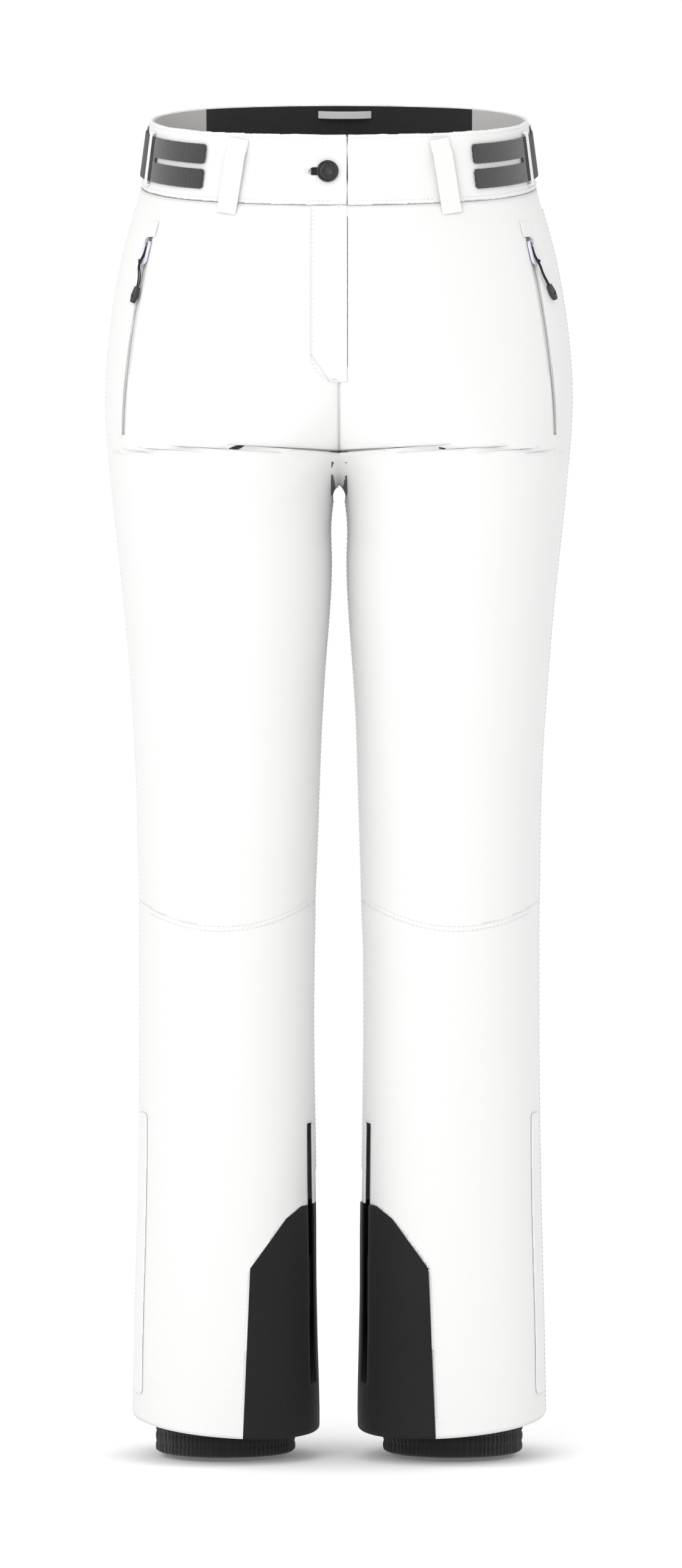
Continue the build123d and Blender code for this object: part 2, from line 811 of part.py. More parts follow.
save_pair(zip_tape(leg_bar, leg_zip_length), "leg_zip_tape")
with BuildPart() as leg_zip_slider:
    add(hidden_slider(leg_frame, leg_slider_start))
    add(pull_tab(leg_frame, leg_slider_start))
save_pair(leg_zip_slider.part, "leg_zip_slider")

with BuildPart() as leg_placket:
    add(skin(placket_gap, placket_gap + placket_thickness))
    with BuildSketch(leg_frame.offset(-15)):
        with Locations((0, -leg_zip_length / 2)):
            RectangleRounded(2 * placket_half_width, leg_zip_length + 10, 4)
    extrude(amount=30, mode=Mode.INTERSECT)
save_pair(leg_placket.part, "leg_placket")


# ---------------------------------------------------------------- hand pocket
save_pair(zip_tape(pocket_bar, pocket_length), "pocket_zip_tape")

with BuildPart() as pocket_welt:
    add(pocket_bar(-welt_half_width, welt_half_width, -welt_thickness, 0, 0, pocket_length))
    channel = (-channel_half_width, channel_half_width, -12, 12)
    add(pocket_bar(*channel, stop_length, pocket_length - 2 * stop_length), mode=Mode.SUBTRACT)
save_pair(pocket_welt.part, "pocket_welt")
patch_span = (-welt_half_width, welt_half_width, gap, gap + patch_thickness)
with BuildPart() as pocket_patches:
    add(pocket_bar(*patch_span, 0, patch_length))
    mirror(about=Plane.YZ)
save(pocket_patches.part, "pocket_patches")

puller_plane = pocket_frame(puller_pivot)
side_plane = Plane(origin=puller_plane.origin, x_dir=puller_plane.z_dir, z_dir=-puller_plane.x_dir)


def along_side(half_width):
    """The puller's side-view plane, moved so that an extrusion is centred on the zip."""
    return side_plane.offset(-half_width)


with BuildPart() as pocket_slider:
    add(zip_slider(pocket_bar, pocket_slider_start))
    slider_top = tape_level + gap + slider_plate
    bail_top = puller_level + bail_inside + bail_thickness
    bail_low = slider_top - slider_plate / 2
    window_low = slider_top + gap
    window_top = bail_top - bail_thickness
    with BuildSketch(along_side(bail_half_width)):
        with Locations(((bail_top + bail_low) / 2, 0)):
            Rectangle(bail_top - bail_low, 2 * (bail_inside + bail_thickness))
        with Locations(((window_top + window_low) / 2, 0)):
            Rectangle(window_top - window_low, 2 * bail_inside, mode=Mode.SUBTRACT)
    extrude(amount=2 * bail_half_width)
save_pair(pocket_slider.part, "pocket_slider")

with BuildPart() as pocket_puller:
    with BuildSketch(puller_plane.offset(puller_level - puller_thickness / 2)):
        with Locations((0, puller_bar_half - puller_length / 2)):
            SlotOverall(puller_length, puller_width, rotation=90)
        with Locations((0, -puller_bar_half - puller_window_length / 2)):
            RectangleRounded(puller_window, puller_window_length, puller_window_radius,
                             mode=Mode.SUBTRACT)
    extrude(amount=puller_thickness)
save_pair(pocket_puller.part, "pocket_puller")


# ---------------------------------------------------------------- pull cords and toggles
def corner_radii(route):
    """As large a radius at each corner as its two runs allow."""
    radii = []
    for before, corner, after in zip(route, route[1:], route[2:]):
        into = Vector(corner) - Vector(before)
        out = Vector(after) - Vector(corner)
        half_turn = radians(into.get_angle(out) / 2)
        radii.append(0.45 * min(into.length, out.length) / tan(half_turn))
    return radii


def cord_tube(route):
    """A round cord through the route."""
    with BuildPart() as tube:
        with BuildLine() as path:
            FilletPolyline(*route, radius=corner_radii(route))
        with BuildSketch(Plane(origin=path.line @ 0, z_dir=path.line % 0)):
            Circle(cord_diameter / 2)
        sweep()
    return tube.part


def toggle(route, side):
    """A flat six-sided toggle moulded over the loop at the middle of the route."""
    half = len(route) // 2
    entry = (Vector(route[half - 2]) + Vector(route[half + 1])) / 2
    fold = (Vector(route[half - 1]) + Vector(route[half])) / 2
    up = (entry - fold).normalized()
    across = (Vector(route[half]) - Vector(route[half - 1])).normalized()
    outward = across.cross(up) * (1 if side == "left" else -1)
    plane = Plane(origin=entry, x_dir=up.cross(outward), z_dir=outward)
    head = toggle_above_entry
    rim = [
        (toggle_head_width / 2, head), (toggle_width / 2, head - toggle_widest),
        (toggle_foot_width / 2, head - toggle_length),
    ]
    rim = rim + [(-x, y) for x, y in reversed(rim)]
    with BuildPart() as piece:
        with BuildSketch(plane.offset(-toggle_thickness / 2)):
            with BuildLine():
                Polyline(*rim, close=True)
            make_face()
            with Locations((0, head - toggle_widest - 0.6)):
                Circle(toggle_hole_radius, mode=Mode.SUBTRACT)
        extrude(amount=toggle_thickness)
    return piece.part


for side, route in cord_routes.items():
    tube = cord_tube(route)
    radii = [round(radius, 1) for radius in corner_radii(route)]
    length = tube.volume / (pi * cord_diameter**2 / 4)
    print(f"pull cord {side}: length {length:.1f}, corner radii {radii}")
    save(tube, f"pocket_cord_{side}")
    save(toggle(route, side), f"pocket_toggle_{side}")


with BuildPart() as pocket_bag:
    add(skin(bag_level - bag_thickness, bag_level))
    add(front_prism(bag_outline), mode=Mode.INTERSECT)
    add(pocket_bar(-tape_half_width - 0.6, tape_half_width + 0.6, -15, 12, -2, pocket_length + 4),
        mode=Mode.SUBTRACT)
save_pair(pocket_bag.part, "pocket_bag")


# ---------------------------------------------------------------- waist adjusters
arc_axis_line = Axis(waist_plane.from_local_coords((side_arc_centre, 0, 0)), waist_plane.z_dir)


def band_radius(drop):
    """Radius of the left side arc at a drop below the top edge."""
    share = drop / band_height
    return waist_half_width + (seam_half_width - waist_half_width) * share - side_arc_centre


def band_arc(outline, start_angle, end_angle):
    """Sweeps an outline of (drop, level above the band) points round the left side arc."""
    outward = band_direction(cos(radians(start_angle)), sin(radians(start_angle)))
    profile = Plane(
        origin=arc_axis_line.position, x_dir=outward, z_dir=outward.cross(waist_plane.z_dir)
    )
    points = [(band_radius(drop) + level, -drop) for drop, level in outline]
    with BuildPart() as sweep_part:
        with BuildSketch(profile):
            with BuildLine():
                Polyline(*points, close=True)
            make_face()
        revolve(axis=arc_axis_line, revolution_arc=end_angle - start_angle)
    return sweep_part.part


def flat_outline(top, bottom, level, thickness):
    return [(top, level), (bottom, level), (bottom, level + thickness), (top, level + thickness)]


def bridge_outline(top, bottom, inside, thickness, side_wall):
    """A flat channel over the strap, with its two edges down on the band."""
    roof = inside + thickness
    return [
        (top, gap), (top, roof), (bottom, roof), (bottom, gap), (bottom - side_wall, gap),
        (bottom - side_wall, inside), (top + side_wall, inside), (top + side_wall, gap),
    ]


strap_bottom = strap_top + strap_height
strap_outline = flat_outline(strap_top, strap_bottom, strap_gap, strap_thickness)
save_pair(band_arc(strap_outline, tab_back_angle, strap_back_angle), "adjuster_strap")

tab_middle = (tab_front_angle + tab_back_angle) / 2
with BuildPart() as adjuster_tab:
    add(band_arc(strap_outline, tab_front_angle - 8, tab_back_angle))
    outward = band_direction(cos(radians(tab_middle)), sin(radians(tab_middle)))
    strap_middle = strap_top + strap_height / 2
    tab_plane = Plane(
        origin=arc_axis_line.position - waist_plane.z_dir * strap_middle,
        x_dir=waist_plane.z_dir.cross(outward),
        z_dir=outward,
    )
    reach = band_radius(strap_middle) + strap_gap
    tip = -reach * sin(radians(tab_middle - tab_front_angle))
    with BuildSketch(tab_plane.offset(reach * 0.5)):
        for side in (-1, 1):
            with Locations((tip + 60, side * (strap_height - finger_height) / 2)):
                RectangleRounded(120, finger_height, finger_radius)
        with Locations((-tip, 0)):
            Rectangle(8, strap_height)
    extrude(amount=reach, mode=Mode.INTERSECT)
save_pair(adjuster_tab.part, "adjuster_tab")

bridge = (strap_gap + strap_thickness + gap, keeper_thickness, keeper_wall)
edges = (strap_top - keeper_margin - keeper_wall, strap_bottom + keeper_margin + keeper_wall)
keeper_half = degrees(keeper_width / 2 / band_radius(strap_top))
keeper_outline = bridge_outline(*edges, *bridge)
save_pair(
    band_arc(keeper_outline, keeper_angle - keeper_half, keeper_angle + keeper_half),
    "adjuster_keeper",
)
with BuildPart() as adjuster_tunnels:
    add(band_arc(keeper_outline, tunnel_from_angle, tunnel_to_angle))
    mirror(about=Plane.YZ)
save(adjuster_tunnels.part, "adjuster_tunnels")


# ---------------------------------------------------------------- snow gaiters
def gaiter_ring(height, centre_x, centre_y, half_width, half_depth):
    with BuildSketch(Plane.XY.offset(height)) as ring:
        with Locations((centre_x, centre_y)):
            Ellipse(half_width, half_depth)
    return ring.sketch


def gaiter_wall(rings, thickness):
    """A sleeve through the rings, with its thickness inside them."""
    inner = [(h, x, y, a - thickness, b - thickness) for h, x, y, a, b in rings]
    with BuildPart() as sleeve:
        loft([gaiter_ring(*ring) for ring in rings])
        loft([gaiter_ring(*ring) for ring in inner], mode=Mode.SUBTRACT)
    return sleeve.part


save_pair(gaiter_wall(gaiter_rings, gaiter_thickness), "gaiter_skirt")
last = gaiter_rings[-1]
cuff_rings = [
    (last[0] - gap, *last[1:]),
    (gaiter_bottom, last[1], last[2], last[3], last[4]),
]
save_pair(gaiter_wall(cuff_rings, gaiter_elastic_thickness), "gaiter_elastic")

for name, vector in (
    ("pocket slide centre", arc_centre), ("pocket slide axis", arc_axis),
    ("pocket pull pivot", puller_plane.origin + puller_plane.z_dir * puller_level),
    ("pocket pull axis", puller_plane.x_dir), ("fly up", fly_frame.y_dir),
    ("leg up", leg_frame.y_dir), ("button", button_plane.origin),
    ("adjuster axis point", arc_axis_line.position), ("adjuster axis", waist_plane.z_dir),
):
    print(name, [round(value, 4) for value in vector])
print("pocket length", pocket_length, "radius", arc_radius, "degree", arc_degree)
print("fly length", fly_length, "leg length", leg_zip_length)
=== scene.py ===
import json
from math import atan2, cos, exp, hypot, pi, radians, sin, tan

import bmesh
import bpy
from mathutils import Matrix, Vector, noise
from mathutils.bvhtree import BVHTree

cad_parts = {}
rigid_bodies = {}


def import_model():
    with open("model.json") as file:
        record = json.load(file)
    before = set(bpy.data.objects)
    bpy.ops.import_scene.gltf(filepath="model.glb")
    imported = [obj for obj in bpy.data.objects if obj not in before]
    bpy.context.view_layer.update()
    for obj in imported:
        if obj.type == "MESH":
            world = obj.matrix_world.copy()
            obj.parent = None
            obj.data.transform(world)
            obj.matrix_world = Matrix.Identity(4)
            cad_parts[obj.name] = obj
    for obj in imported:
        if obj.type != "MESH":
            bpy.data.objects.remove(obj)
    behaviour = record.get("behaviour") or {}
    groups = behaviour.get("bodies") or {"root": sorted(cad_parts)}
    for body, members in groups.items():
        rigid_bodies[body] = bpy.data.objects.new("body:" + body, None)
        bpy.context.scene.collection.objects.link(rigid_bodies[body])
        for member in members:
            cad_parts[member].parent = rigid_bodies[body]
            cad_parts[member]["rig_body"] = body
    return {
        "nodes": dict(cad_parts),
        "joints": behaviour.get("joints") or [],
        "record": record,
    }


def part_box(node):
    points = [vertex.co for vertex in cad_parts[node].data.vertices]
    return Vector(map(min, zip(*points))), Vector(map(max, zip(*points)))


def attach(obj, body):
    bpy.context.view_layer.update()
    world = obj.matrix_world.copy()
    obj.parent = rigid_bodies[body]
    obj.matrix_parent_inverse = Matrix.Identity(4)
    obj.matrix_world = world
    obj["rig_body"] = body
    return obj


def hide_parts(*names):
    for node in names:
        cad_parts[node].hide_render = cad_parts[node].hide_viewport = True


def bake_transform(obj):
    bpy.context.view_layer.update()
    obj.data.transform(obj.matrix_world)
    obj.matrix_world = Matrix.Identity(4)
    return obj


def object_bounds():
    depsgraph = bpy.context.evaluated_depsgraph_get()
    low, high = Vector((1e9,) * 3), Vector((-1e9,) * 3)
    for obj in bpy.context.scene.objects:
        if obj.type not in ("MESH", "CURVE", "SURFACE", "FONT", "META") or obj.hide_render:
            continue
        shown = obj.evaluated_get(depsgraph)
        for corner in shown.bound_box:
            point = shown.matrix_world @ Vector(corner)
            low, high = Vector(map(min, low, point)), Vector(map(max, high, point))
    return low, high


# Ski pants in metres, front towards -Y, the wearer's left on +X, origin in the waist opening.

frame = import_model()
nodes = frame["nodes"]
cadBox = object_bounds()
joints = {j["name"]: j for j in frame["joints"]}
mounts = {m["name"]: m for m in frame["record"]["mounts"]}
waistNormal = Vector(mounts["waist"]["axis"]).normalized()
sides = {"left": 1, "right": -1}
print("frame loaded")


# ---- shaders
def nodeTree(name):
    mat = bpy.data.materials.new(name)
    mat.use_nodes = True
    tree = mat.node_tree
    return mat, tree, tree.nodes["Principled BSDF"]


def addNode(tree, kind, **values):
    node = tree.nodes.new(kind)
    for key, value in values.items():
        if key in node.inputs:
            node.inputs[key].default_value = value
        else:
            setattr(node, key, value)
    return node


def mathNode(tree, operation, a, b=0.0):
    node = tree.nodes.new("ShaderNodeMath")
    node.operation = operation
    for socket, value in zip(node.inputs, (a, b)):
        if isinstance(value, (int, float)):
            socket.default_value = value
        else:
            tree.links.new(value, socket)
    return node.outputs[0]


def makeGroup(name, inputs, outputs):
    group = bpy.data.node_groups.new(name, "ShaderNodeTree")
    for label, kind, value in inputs:
        socket = group.interface.new_socket(name=label, in_out="INPUT", socket_type=kind)
        socket.default_value = value
    for label, kind in outputs:
        group.interface.new_socket(name=label, in_out="OUTPUT", socket_type=kind)
    return group, group.nodes.new("NodeGroupInput"), group.nodes.new("NodeGroupOutput")


def buildClothGroup():
    # plain weave threads, a slow wander in tone and a little loose grain
    group, gin, gout = makeGroup(
        "clothSurface",
        [("Color", "NodeSocketColor", (0.8, 0.8, 0.8, 1)),
         ("Shade", "NodeSocketColor", (0.7, 0.7, 0.7, 1)),
         ("Thread", "NodeSocketFloat", 0.0007), ("Mottle", "NodeSocketFloat", 0.03)],
        [("Color", "NodeSocketColor"), ("Height", "NodeSocketFloat"),
         ("Roughness", "NodeSocketFloat")])
    coords = group.nodes.new("ShaderNodeTexCoord")
    split = group.nodes.new("ShaderNodeSeparateXYZ")
    group.links.new(coords.outputs["Object"], split.inputs[0])
    turn = mathNode(group, "DIVIDE", 2 * pi, gin.outputs["Thread"])
    across = mathNode(group, "ADD", split.outputs["X"], split.outputs["Y"])
    warp = mathNode(group, "SINE", mathNode(group, "MULTIPLY", across, turn))
    weft = mathNode(group, "SINE", mathNode(group, "MULTIPLY", split.outputs["Z"], turn))
    weave = mathNode(group, "MULTIPLY", warp, weft)
    grain = addNode(group, "ShaderNodeTexNoise", Scale=900.0, Detail=3.0)
    group.links.new(coords.outputs["Object"], grain.inputs["Vector"])
    grainPart = mathNode(group, "MULTIPLY", grain.outputs["Fac"], 0.8)
    weavePart = mathNode(group, "MULTIPLY", weave, 0.35)
    height = mathNode(group, "ADD", grainPart, weavePart)
    group.links.new(height, gout.inputs["Height"])
    wander = addNode(group, "ShaderNodeTexNoise", Scale=9.0, Detail=3.0, Roughness=0.55)
    group.links.new(coords.outputs["Object"], wander.inputs["Vector"])
    centred = mathNode(group, "SUBTRACT", wander.outputs["Fac"], 0.5)
    amount = mathNode(group, "MULTIPLY", centred, gin.outputs["Mottle"])
    toned = mathNode(group, "ADD", mathNode(group, "MULTIPLY", amount, 8.0), 0.35)
    fleck = mathNode(group, "MULTIPLY", mathNode(group, "SUBTRACT", height, 0.4), 0.25)
    mix = addNode(group, "ShaderNodeMix", data_type="RGBA")
    group.links.new(mathNode(group, "ADD", toned, fleck), mix.inputs["Factor"])
    group.links.new(gin.outputs["Color"], mix.inputs[6])
    group.links.new(gin.outputs["Shade"], mix.inputs[7])
    group.links.new(mix.outputs[2], gout.inputs["Color"])
    rough = mathNode(group, "ADD", mathNode(group, "MULTIPLY", wander.outputs["Fac"], 0.2), 0.6)
    group.links.new(rough, gout.inputs["Roughness"])
    return group


def grey(value, warm=0.0):
    return value * (1 + warm), value, value * (1 - warm), 1


clothGroup = buildClothGroup()

clothFinishes = {
    "shellWhite": dict(color=grey(0.79, 0.006), shade=grey(0.73, 0.004), thread=0.0007,
                       mottle=0.02, bump=0.00012, sheen=0.15),
    "hemWhite": dict(color=grey(0.76, 0.01), shade=grey(0.69, 0.01), thread=0.0007,
                     mottle=0.02, bump=0.00012, sheen=0.15),
    "liningWhite": dict(color=grey(0.62, 0.015), shade=grey(0.55, 0.02), thread=0.0010,
                        mottle=0.03, bump=0.0002, sheen=0.2),
    "threadWhite": dict(color=grey(0.78), shade=grey(0.66), thread=0.0004,
                        mottle=0.03, bump=0.0001, sheen=0.1),
    "guardBlack": dict(color=grey(0.0065), shade=grey(0.0045), thread=0.0012,
                       mottle=0.05, bump=0.0002, sheen=0.05),
    "facingBlack": dict(color=grey(0.011), shade=grey(0.008), thread=0.0009,
                        mottle=0.05, bump=0.0003, sheen=0.25),
    "elasticBlack": dict(color=grey(0.010), shade=grey(0.006), thread=0.0011,
                         mottle=0.05, bump=0.0003, sheen=0.15),
    "hookBlack": dict(color=grey(0.016), shade=grey(0.009), thread=0.0016,
                      mottle=0.06, bump=0.0008, sheen=0.5),
    # near-black grey for the crotch patch: the dark seen deep in the crotch recess is painted into
    # its colour
    "gussetGrey": dict(color=grey(0.08), shade=grey(0.06), thread=0.0009,
                       mottle=0.04, bump=0.0002, sheen=0.1),
    "tapeWhite": dict(color=grey(0.72), shade=grey(0.64), thread=0.0008,
                      mottle=0.03, bump=0.0002, sheen=0.05),
    "cordBlack": dict(color=grey(0.008), shade=grey(0.004), thread=0.0006,
                      mottle=0.04, bump=0.0002, sheen=0.1),
}


def clothMaterial(name):
    finish = clothFinishes[name]
    mat, tree, shader = nodeTree(name)
    group = addNode(tree, "ShaderNodeGroup", node_tree=clothGroup)
    for label in ("Color", "Shade", "Thread", "Mottle"):
        group.inputs[label].default_value = finish[label.lower()]
    bump = addNode(tree, "ShaderNodeBump", Strength=0.6, Distance=finish["bump"])
    tree.links.new(group.outputs["Height"], bump.inputs["Height"])
    tree.links.new(bump.outputs["Normal"], shader.inputs["Normal"])
    tree.links.new(group.outputs["Color"], shader.inputs["Base Color"])
    tree.links.new(group.outputs["Roughness"], shader.inputs["Roughness"])
    shader.inputs["Sheen Weight"].default_value = finish["sheen"]
    shader.inputs["Sheen Roughness"].default_value = 0.6
    shader.inputs["Specular IOR Level"].default_value = 0.25
    return mat


hardFinishes = {
    "buttonBlack": dict(color=grey(0.012), worn=grey(0.05), metallic=0.6, rough=0.32, grain=260),
    "sliderMetal": dict(color=grey(0.55), worn=grey(0.45), metallic=0.9, rough=0.3, grain=400),
    "tackSteel": dict(color=grey(0.45), worn=grey(0.35), metallic=1.0, rough=0.35, grain=500),
    "pullPlastic": dict(color=(0.72, 0.70, 0.80, 1), worn=(0.64, 0.62, 0.74, 1),
                        metallic=0.0, rough=0.3, grain=300),
    "toggleGrey": dict(color=grey(0.022), worn=grey(0.034), metallic=0.0, rough=0.5, grain=700),
}


def hardMaterial(name):
    finish = hardFinishes[name]
    mat, tree, shader = nodeTree(name)
    coords = tree.nodes.new("ShaderNodeTexCoord")
    grain = addNode(tree, "ShaderNodeTexNoise", Scale=finish["grain"], Detail=4.0)
    tree.links.new(coords.outputs["Object"], grain.inputs["Vector"])
    mix = addNode(tree, "ShaderNodeMix", data_type="RGBA")
    mix.inputs[6].default_value = finish["color"]
    mix.inputs[7].default_value = finish["worn"]
    tree.links.new(grain.outputs["Fac"], mix.inputs["Factor"])
    tree.links.new(mix.outputs[2], shader.inputs["Base Color"])
    spread = mathNode(tree, "MULTIPLY", grain.outputs["Fac"], 0.2)
    tree.links.new(mathNode(tree, "ADD", spread, finish["rough"] - 0.1), shader.inputs["Roughness"])
    bump = addNode(tree, "ShaderNodeBump", Strength=0.25, Distance=0.0001)
    tree.links.new(grain.outputs["Fac"], bump.inputs["Height"])
    tree.links.new(bump.outputs["Normal"], shader.inputs["Normal"])
    shader.inputs["Metallic"].default_value = finish["metallic"]
    return mat


mats = {name: clothMaterial(name) for name in clothFinishes}
mats.update({name: hardMaterial(name) for name in hardFinishes})
print("materials made")


# ---- mesh helpers
def newObject(name, bm, mat, smooth=True):
    mesh = bpy.data.meshes.new(name)
    bm.normal_update()
    bm.to_mesh(mesh)
    bm.free()
    for poly in mesh.polygons:
        poly.use_smooth = smooth
    mesh.materials.append(mats[mat])
    obj = bpy.data.objects.new(name, mesh)
    bpy.context.scene.collection.objects.link(obj)
    return obj


def applyModifiers(obj):
    graph = bpy.context.evaluated_depsgraph_get()
    mesh = bpy.data.meshes.new_from_object(obj.evaluated_get(graph))
    obj.modifiers.clear()
    obj.data = mesh
    return obj


def settle(obj, body, replaced=()):
    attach(obj, body)
    if replaced:
        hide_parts(*replaced)
    return obj


def objectTree(objects):
    points, faces = [], []
    for obj in objects:
        first = len(points)
        points += [v.co.copy() for v in obj.data.vertices]
        faces += [[first + k for k in poly.vertices] for poly in obj.data.polygons]
    return BVHTree.FromPolygons(points, faces)


def frontHit(tree, x, z):
    # place and normal, facing forward, of the first surface met from the front
    hit = tree.ray_cast(Vector((x, -far, z)), Vector((0, 1, 0)), far)
    if hit[0] is None:
        return None
    return hit[0], hit[1] if hit[1].y < 0 else -hit[1]


# ---- the trouser shell, measured off the frame's own panels
shell = dict(
    sideSeamY=0.004, torsoCentre=0.06, legCentre=0.0885, centreFrom=-0.25, centreTo=-0.29,
    rows=300, columns=76, bandHeight=0.054, bandGap=0.0003, flyEnd=-0.215,
    thickness=0.0012, lift=0.0002,
    frontProbes=(0.009, 0.015, 0.021), centreProbe=0.0006,  # beside the fly, and on the seam
    frontTop=-0.088, backTop=-0.040,  # just under the waistband at the centre
    hemBelow=-1.075, hemAbove=-0.99, hemHalvings=14, hemInset=0.0002,
    slotJump=0.010, neighbours=5, smoothPasses=3, smoothKeep=0.4,
    squeezes=(1.0, 0.99, 0.98, 0.96, 0.93, 0.90, 0.85, 0.80, 1.1, 1.2),
    lowers=(0.0, 0.004, 0.012, 0.03),
)
panelNodes = dict(frontPanel="front_panel", shinPanel="shin_panel", backPanel="back_panel",
                  calfPanel="calf_panel", scuffGuard="scuff_guard")
leftTree = objectTree([nodes[f"{node}_left"] for node in panelNodes.values()])
far = 0.4  # where a measuring ray starts, clear of the cloth


def smoothStep(low, high, value):
    share = min(1.0, max(0.0, (value - low) / (high - low)))
    return share * share * (3 - 2 * share)


def centreX(z):
    share = smoothStep(shell["centreTo"], shell["centreFrom"], z)
    return shell["legCentre"] + (shell["torsoCentre"] - shell["legCentre"]) * share


def middleDepth(z, sign):
    # where the left half meets the centre plane, in front (-1) or behind (+1); None on the leg
    def depthAt(x):
        hit = leftTree.ray_cast(Vector((x, sign * far, z)), Vector((0, -sign, 0)), far)
        return hit[0].y if hit[0] else None
    if sign < 0 and z > shell["flyEnd"]:
        near, mid, away = (depthAt(x) for x in shell["frontProbes"])
        if None in (near, mid, away):
            return None
        return near + (near - mid) * 1.5 + ((near - mid) - (mid - away)) * 0.5
    depth = depthAt(shell["centreProbe"])
    if depth is None or sign * (depth - shell["sideSeamY"]) <= 0.0005:
        return None
    return depth


def startAngle(z, sign):
    z = min(z, shell["frontTop"] if sign < 0 else shell["backTop"])
    depth = middleDepth(z, sign)
    if depth is None:
        return sign * pi
    return atan2(depth - shell["sideSeamY"], -centreX(z))


def reach(z, angle):
    way = Vector((cos(angle), sin(angle), 0))
    start = Vector((centreX(z), shell["sideSeamY"], z)) + way * far
    hit = leftTree.ray_cast(start, -way, far - 0.01)
    return far - hit[3] if hit[0] else None


def seamHeight(y):
    return (-shell["bandHeight"] - shell["bandGap"] - waistNormal.y * y) / waistNormal.z


def nearReach(z, angle):
    # the reach, or that of the nearest place where the shell isn't slotted
    for squeeze in shell["squeezes"]:
        for lower in shell["lowers"]:
            radius = reach(z - lower, angle * squeeze)
            if radius is not None:
                return radius
    raise ValueError(f"no shell at height {z:.3f}, angle {angle:.2f}")


def topHeight(share, sign):
    z = -0.09 if sign < 0 else -0.045
    for _ in range(5):
        angle = startAngle(z, sign) * (1 - share)
        z = seamHeight(shell["sideSeamY"] + sin(angle) * nearReach(z, angle))
    return z


def hemHeight(share, sign):
    angle = sign * pi * (1 - min(0.999, max(0.001, share)))
    low, high = shell["hemBelow"], shell["hemAbove"]
    for _ in range(shell["hemHalvings"]):
        middle = (low + high) / 2
        if reach(middle, angle) is None:
            low = middle
        else:
            high = middle
    return high + shell["hemInset"]


def fillRow(radii):
    # bridges the zip slots, where the reach drops to something behind them
    known = [k for k, r in enumerate(radii) if r is not None]
    for k in known:
        around = [radii[n] for n in known if 0 < abs(n - k) <= shell["neighbours"]]
        around.sort()
        if around and abs(radii[k] - around[len(around) // 2]) > shell["slotJump"]:
            radii[k] = None
    known = [k for k, r in enumerate(radii) if r is not None]
    for k, r in enumerate(radii):
        if r is None:
            before = max((n for n in known if n < k), default=None)
            after = min((n for n in known if n > k), default=None)
            if before is None or after is None:
                radii[k] = radii[after if before is None else before]
            else:
                part = (k - before) / (after - before)
                radii[k] = radii[before] * (1 - part) + radii[after] * part
    return radii


def shellGrid(sign):
    rows, columns = shell["rows"], shell["columns"]
    shares = [k / columns for k in range(columns + 1)]
    tops = [topHeight(s, sign) for s in shares]
    hems = [hemHeight(s, sign) for s in shares]
    radii, angles, heights = [], [], []
    for i in range(rows + 1):
        down = i / rows
        rowZ = [tops[k] + (hems[k] - tops[k]) * down for k in range(columns + 1)]
        rowAngle = [startAngle(z, sign) * (1 - s) for z, s in zip(rowZ, shares)]
        found = [reach(z, a) for z, a in zip(rowZ, rowAngle)]
        if sign < 0 and rowZ[0] > shell["flyEnd"]:
            depth = middleDepth(min(rowZ[0], shell["frontTop"]), sign)
            found[0] = hypot(centreX(rowZ[0]), depth - shell["sideSeamY"])
        radii.append(fillRow(found))
        angles.append(rowAngle)
        heights.append(rowZ)
    for _ in range(shell["smoothPasses"]):
        radii = smoothGrid(radii)
    grid = []
    for rowR, rowA, rowZ in zip(radii, angles, heights):
        row = []
        for k, (r, a, z) in enumerate(zip(rowR, rowA, rowZ)):
            x = centreX(z) + cos(a) * (r + shell["lift"])
            y = shell["sideSeamY"] + sin(a) * (r + shell["lift"])
            if k == 0 and abs(a) < pi - 0.001:
                x = 0.0
            row.append(Vector((x, y, z)))
        grid.append(row)
    return grid


def smoothGrid(values):
    rows, columns = len(values), len(values[0])
    keep = shell["smoothKeep"]
    out = [list(row) for row in values]
    for i in range(1, rows - 1):
        for k in range(1, columns - 1):
            ring = values[i - 1][k] + values[i + 1][k] + values[i][k - 1] + values[i][k + 1]
            out[i][k] = values[i][k] * keep + ring * (1 - keep) / 4
    return out


grids = {"front": shellGrid(-1), "back": shellGrid(1)}
print("shell measured")


# ---- cutting the shell into its sewn panels
pocketJoint = joints["pocket_zip_left"]
pocketCentre, pocketAxis = Vector(pocketJoint["pos_m"]), Vector(pocketJoint["axis"]).normalized()
cuts = dict(
    kneeSeam=[(0.012, -0.619), (0.052, -0.6375), (0.092, -0.643), (0.130, -0.636), (0.168, -0.617)],
    backKnee=-0.619,
    guardEdge=[(0.014, -0.861), (0.030, -0.862), (0.042, -0.871), (0.070, -0.909), (0.078, -1.100)],
    guardBox=((0, -1, -1.2), (0.12, 1, -0.83)),  # where the guard's edge may cut
    flyHalf=0.0066, legHalf=0.0066, pocketHalf=0.0033, pocketEnd=0.003, zipEnd=0.002,
    slotMargin=(0.03, 0.03, 0.02),
)


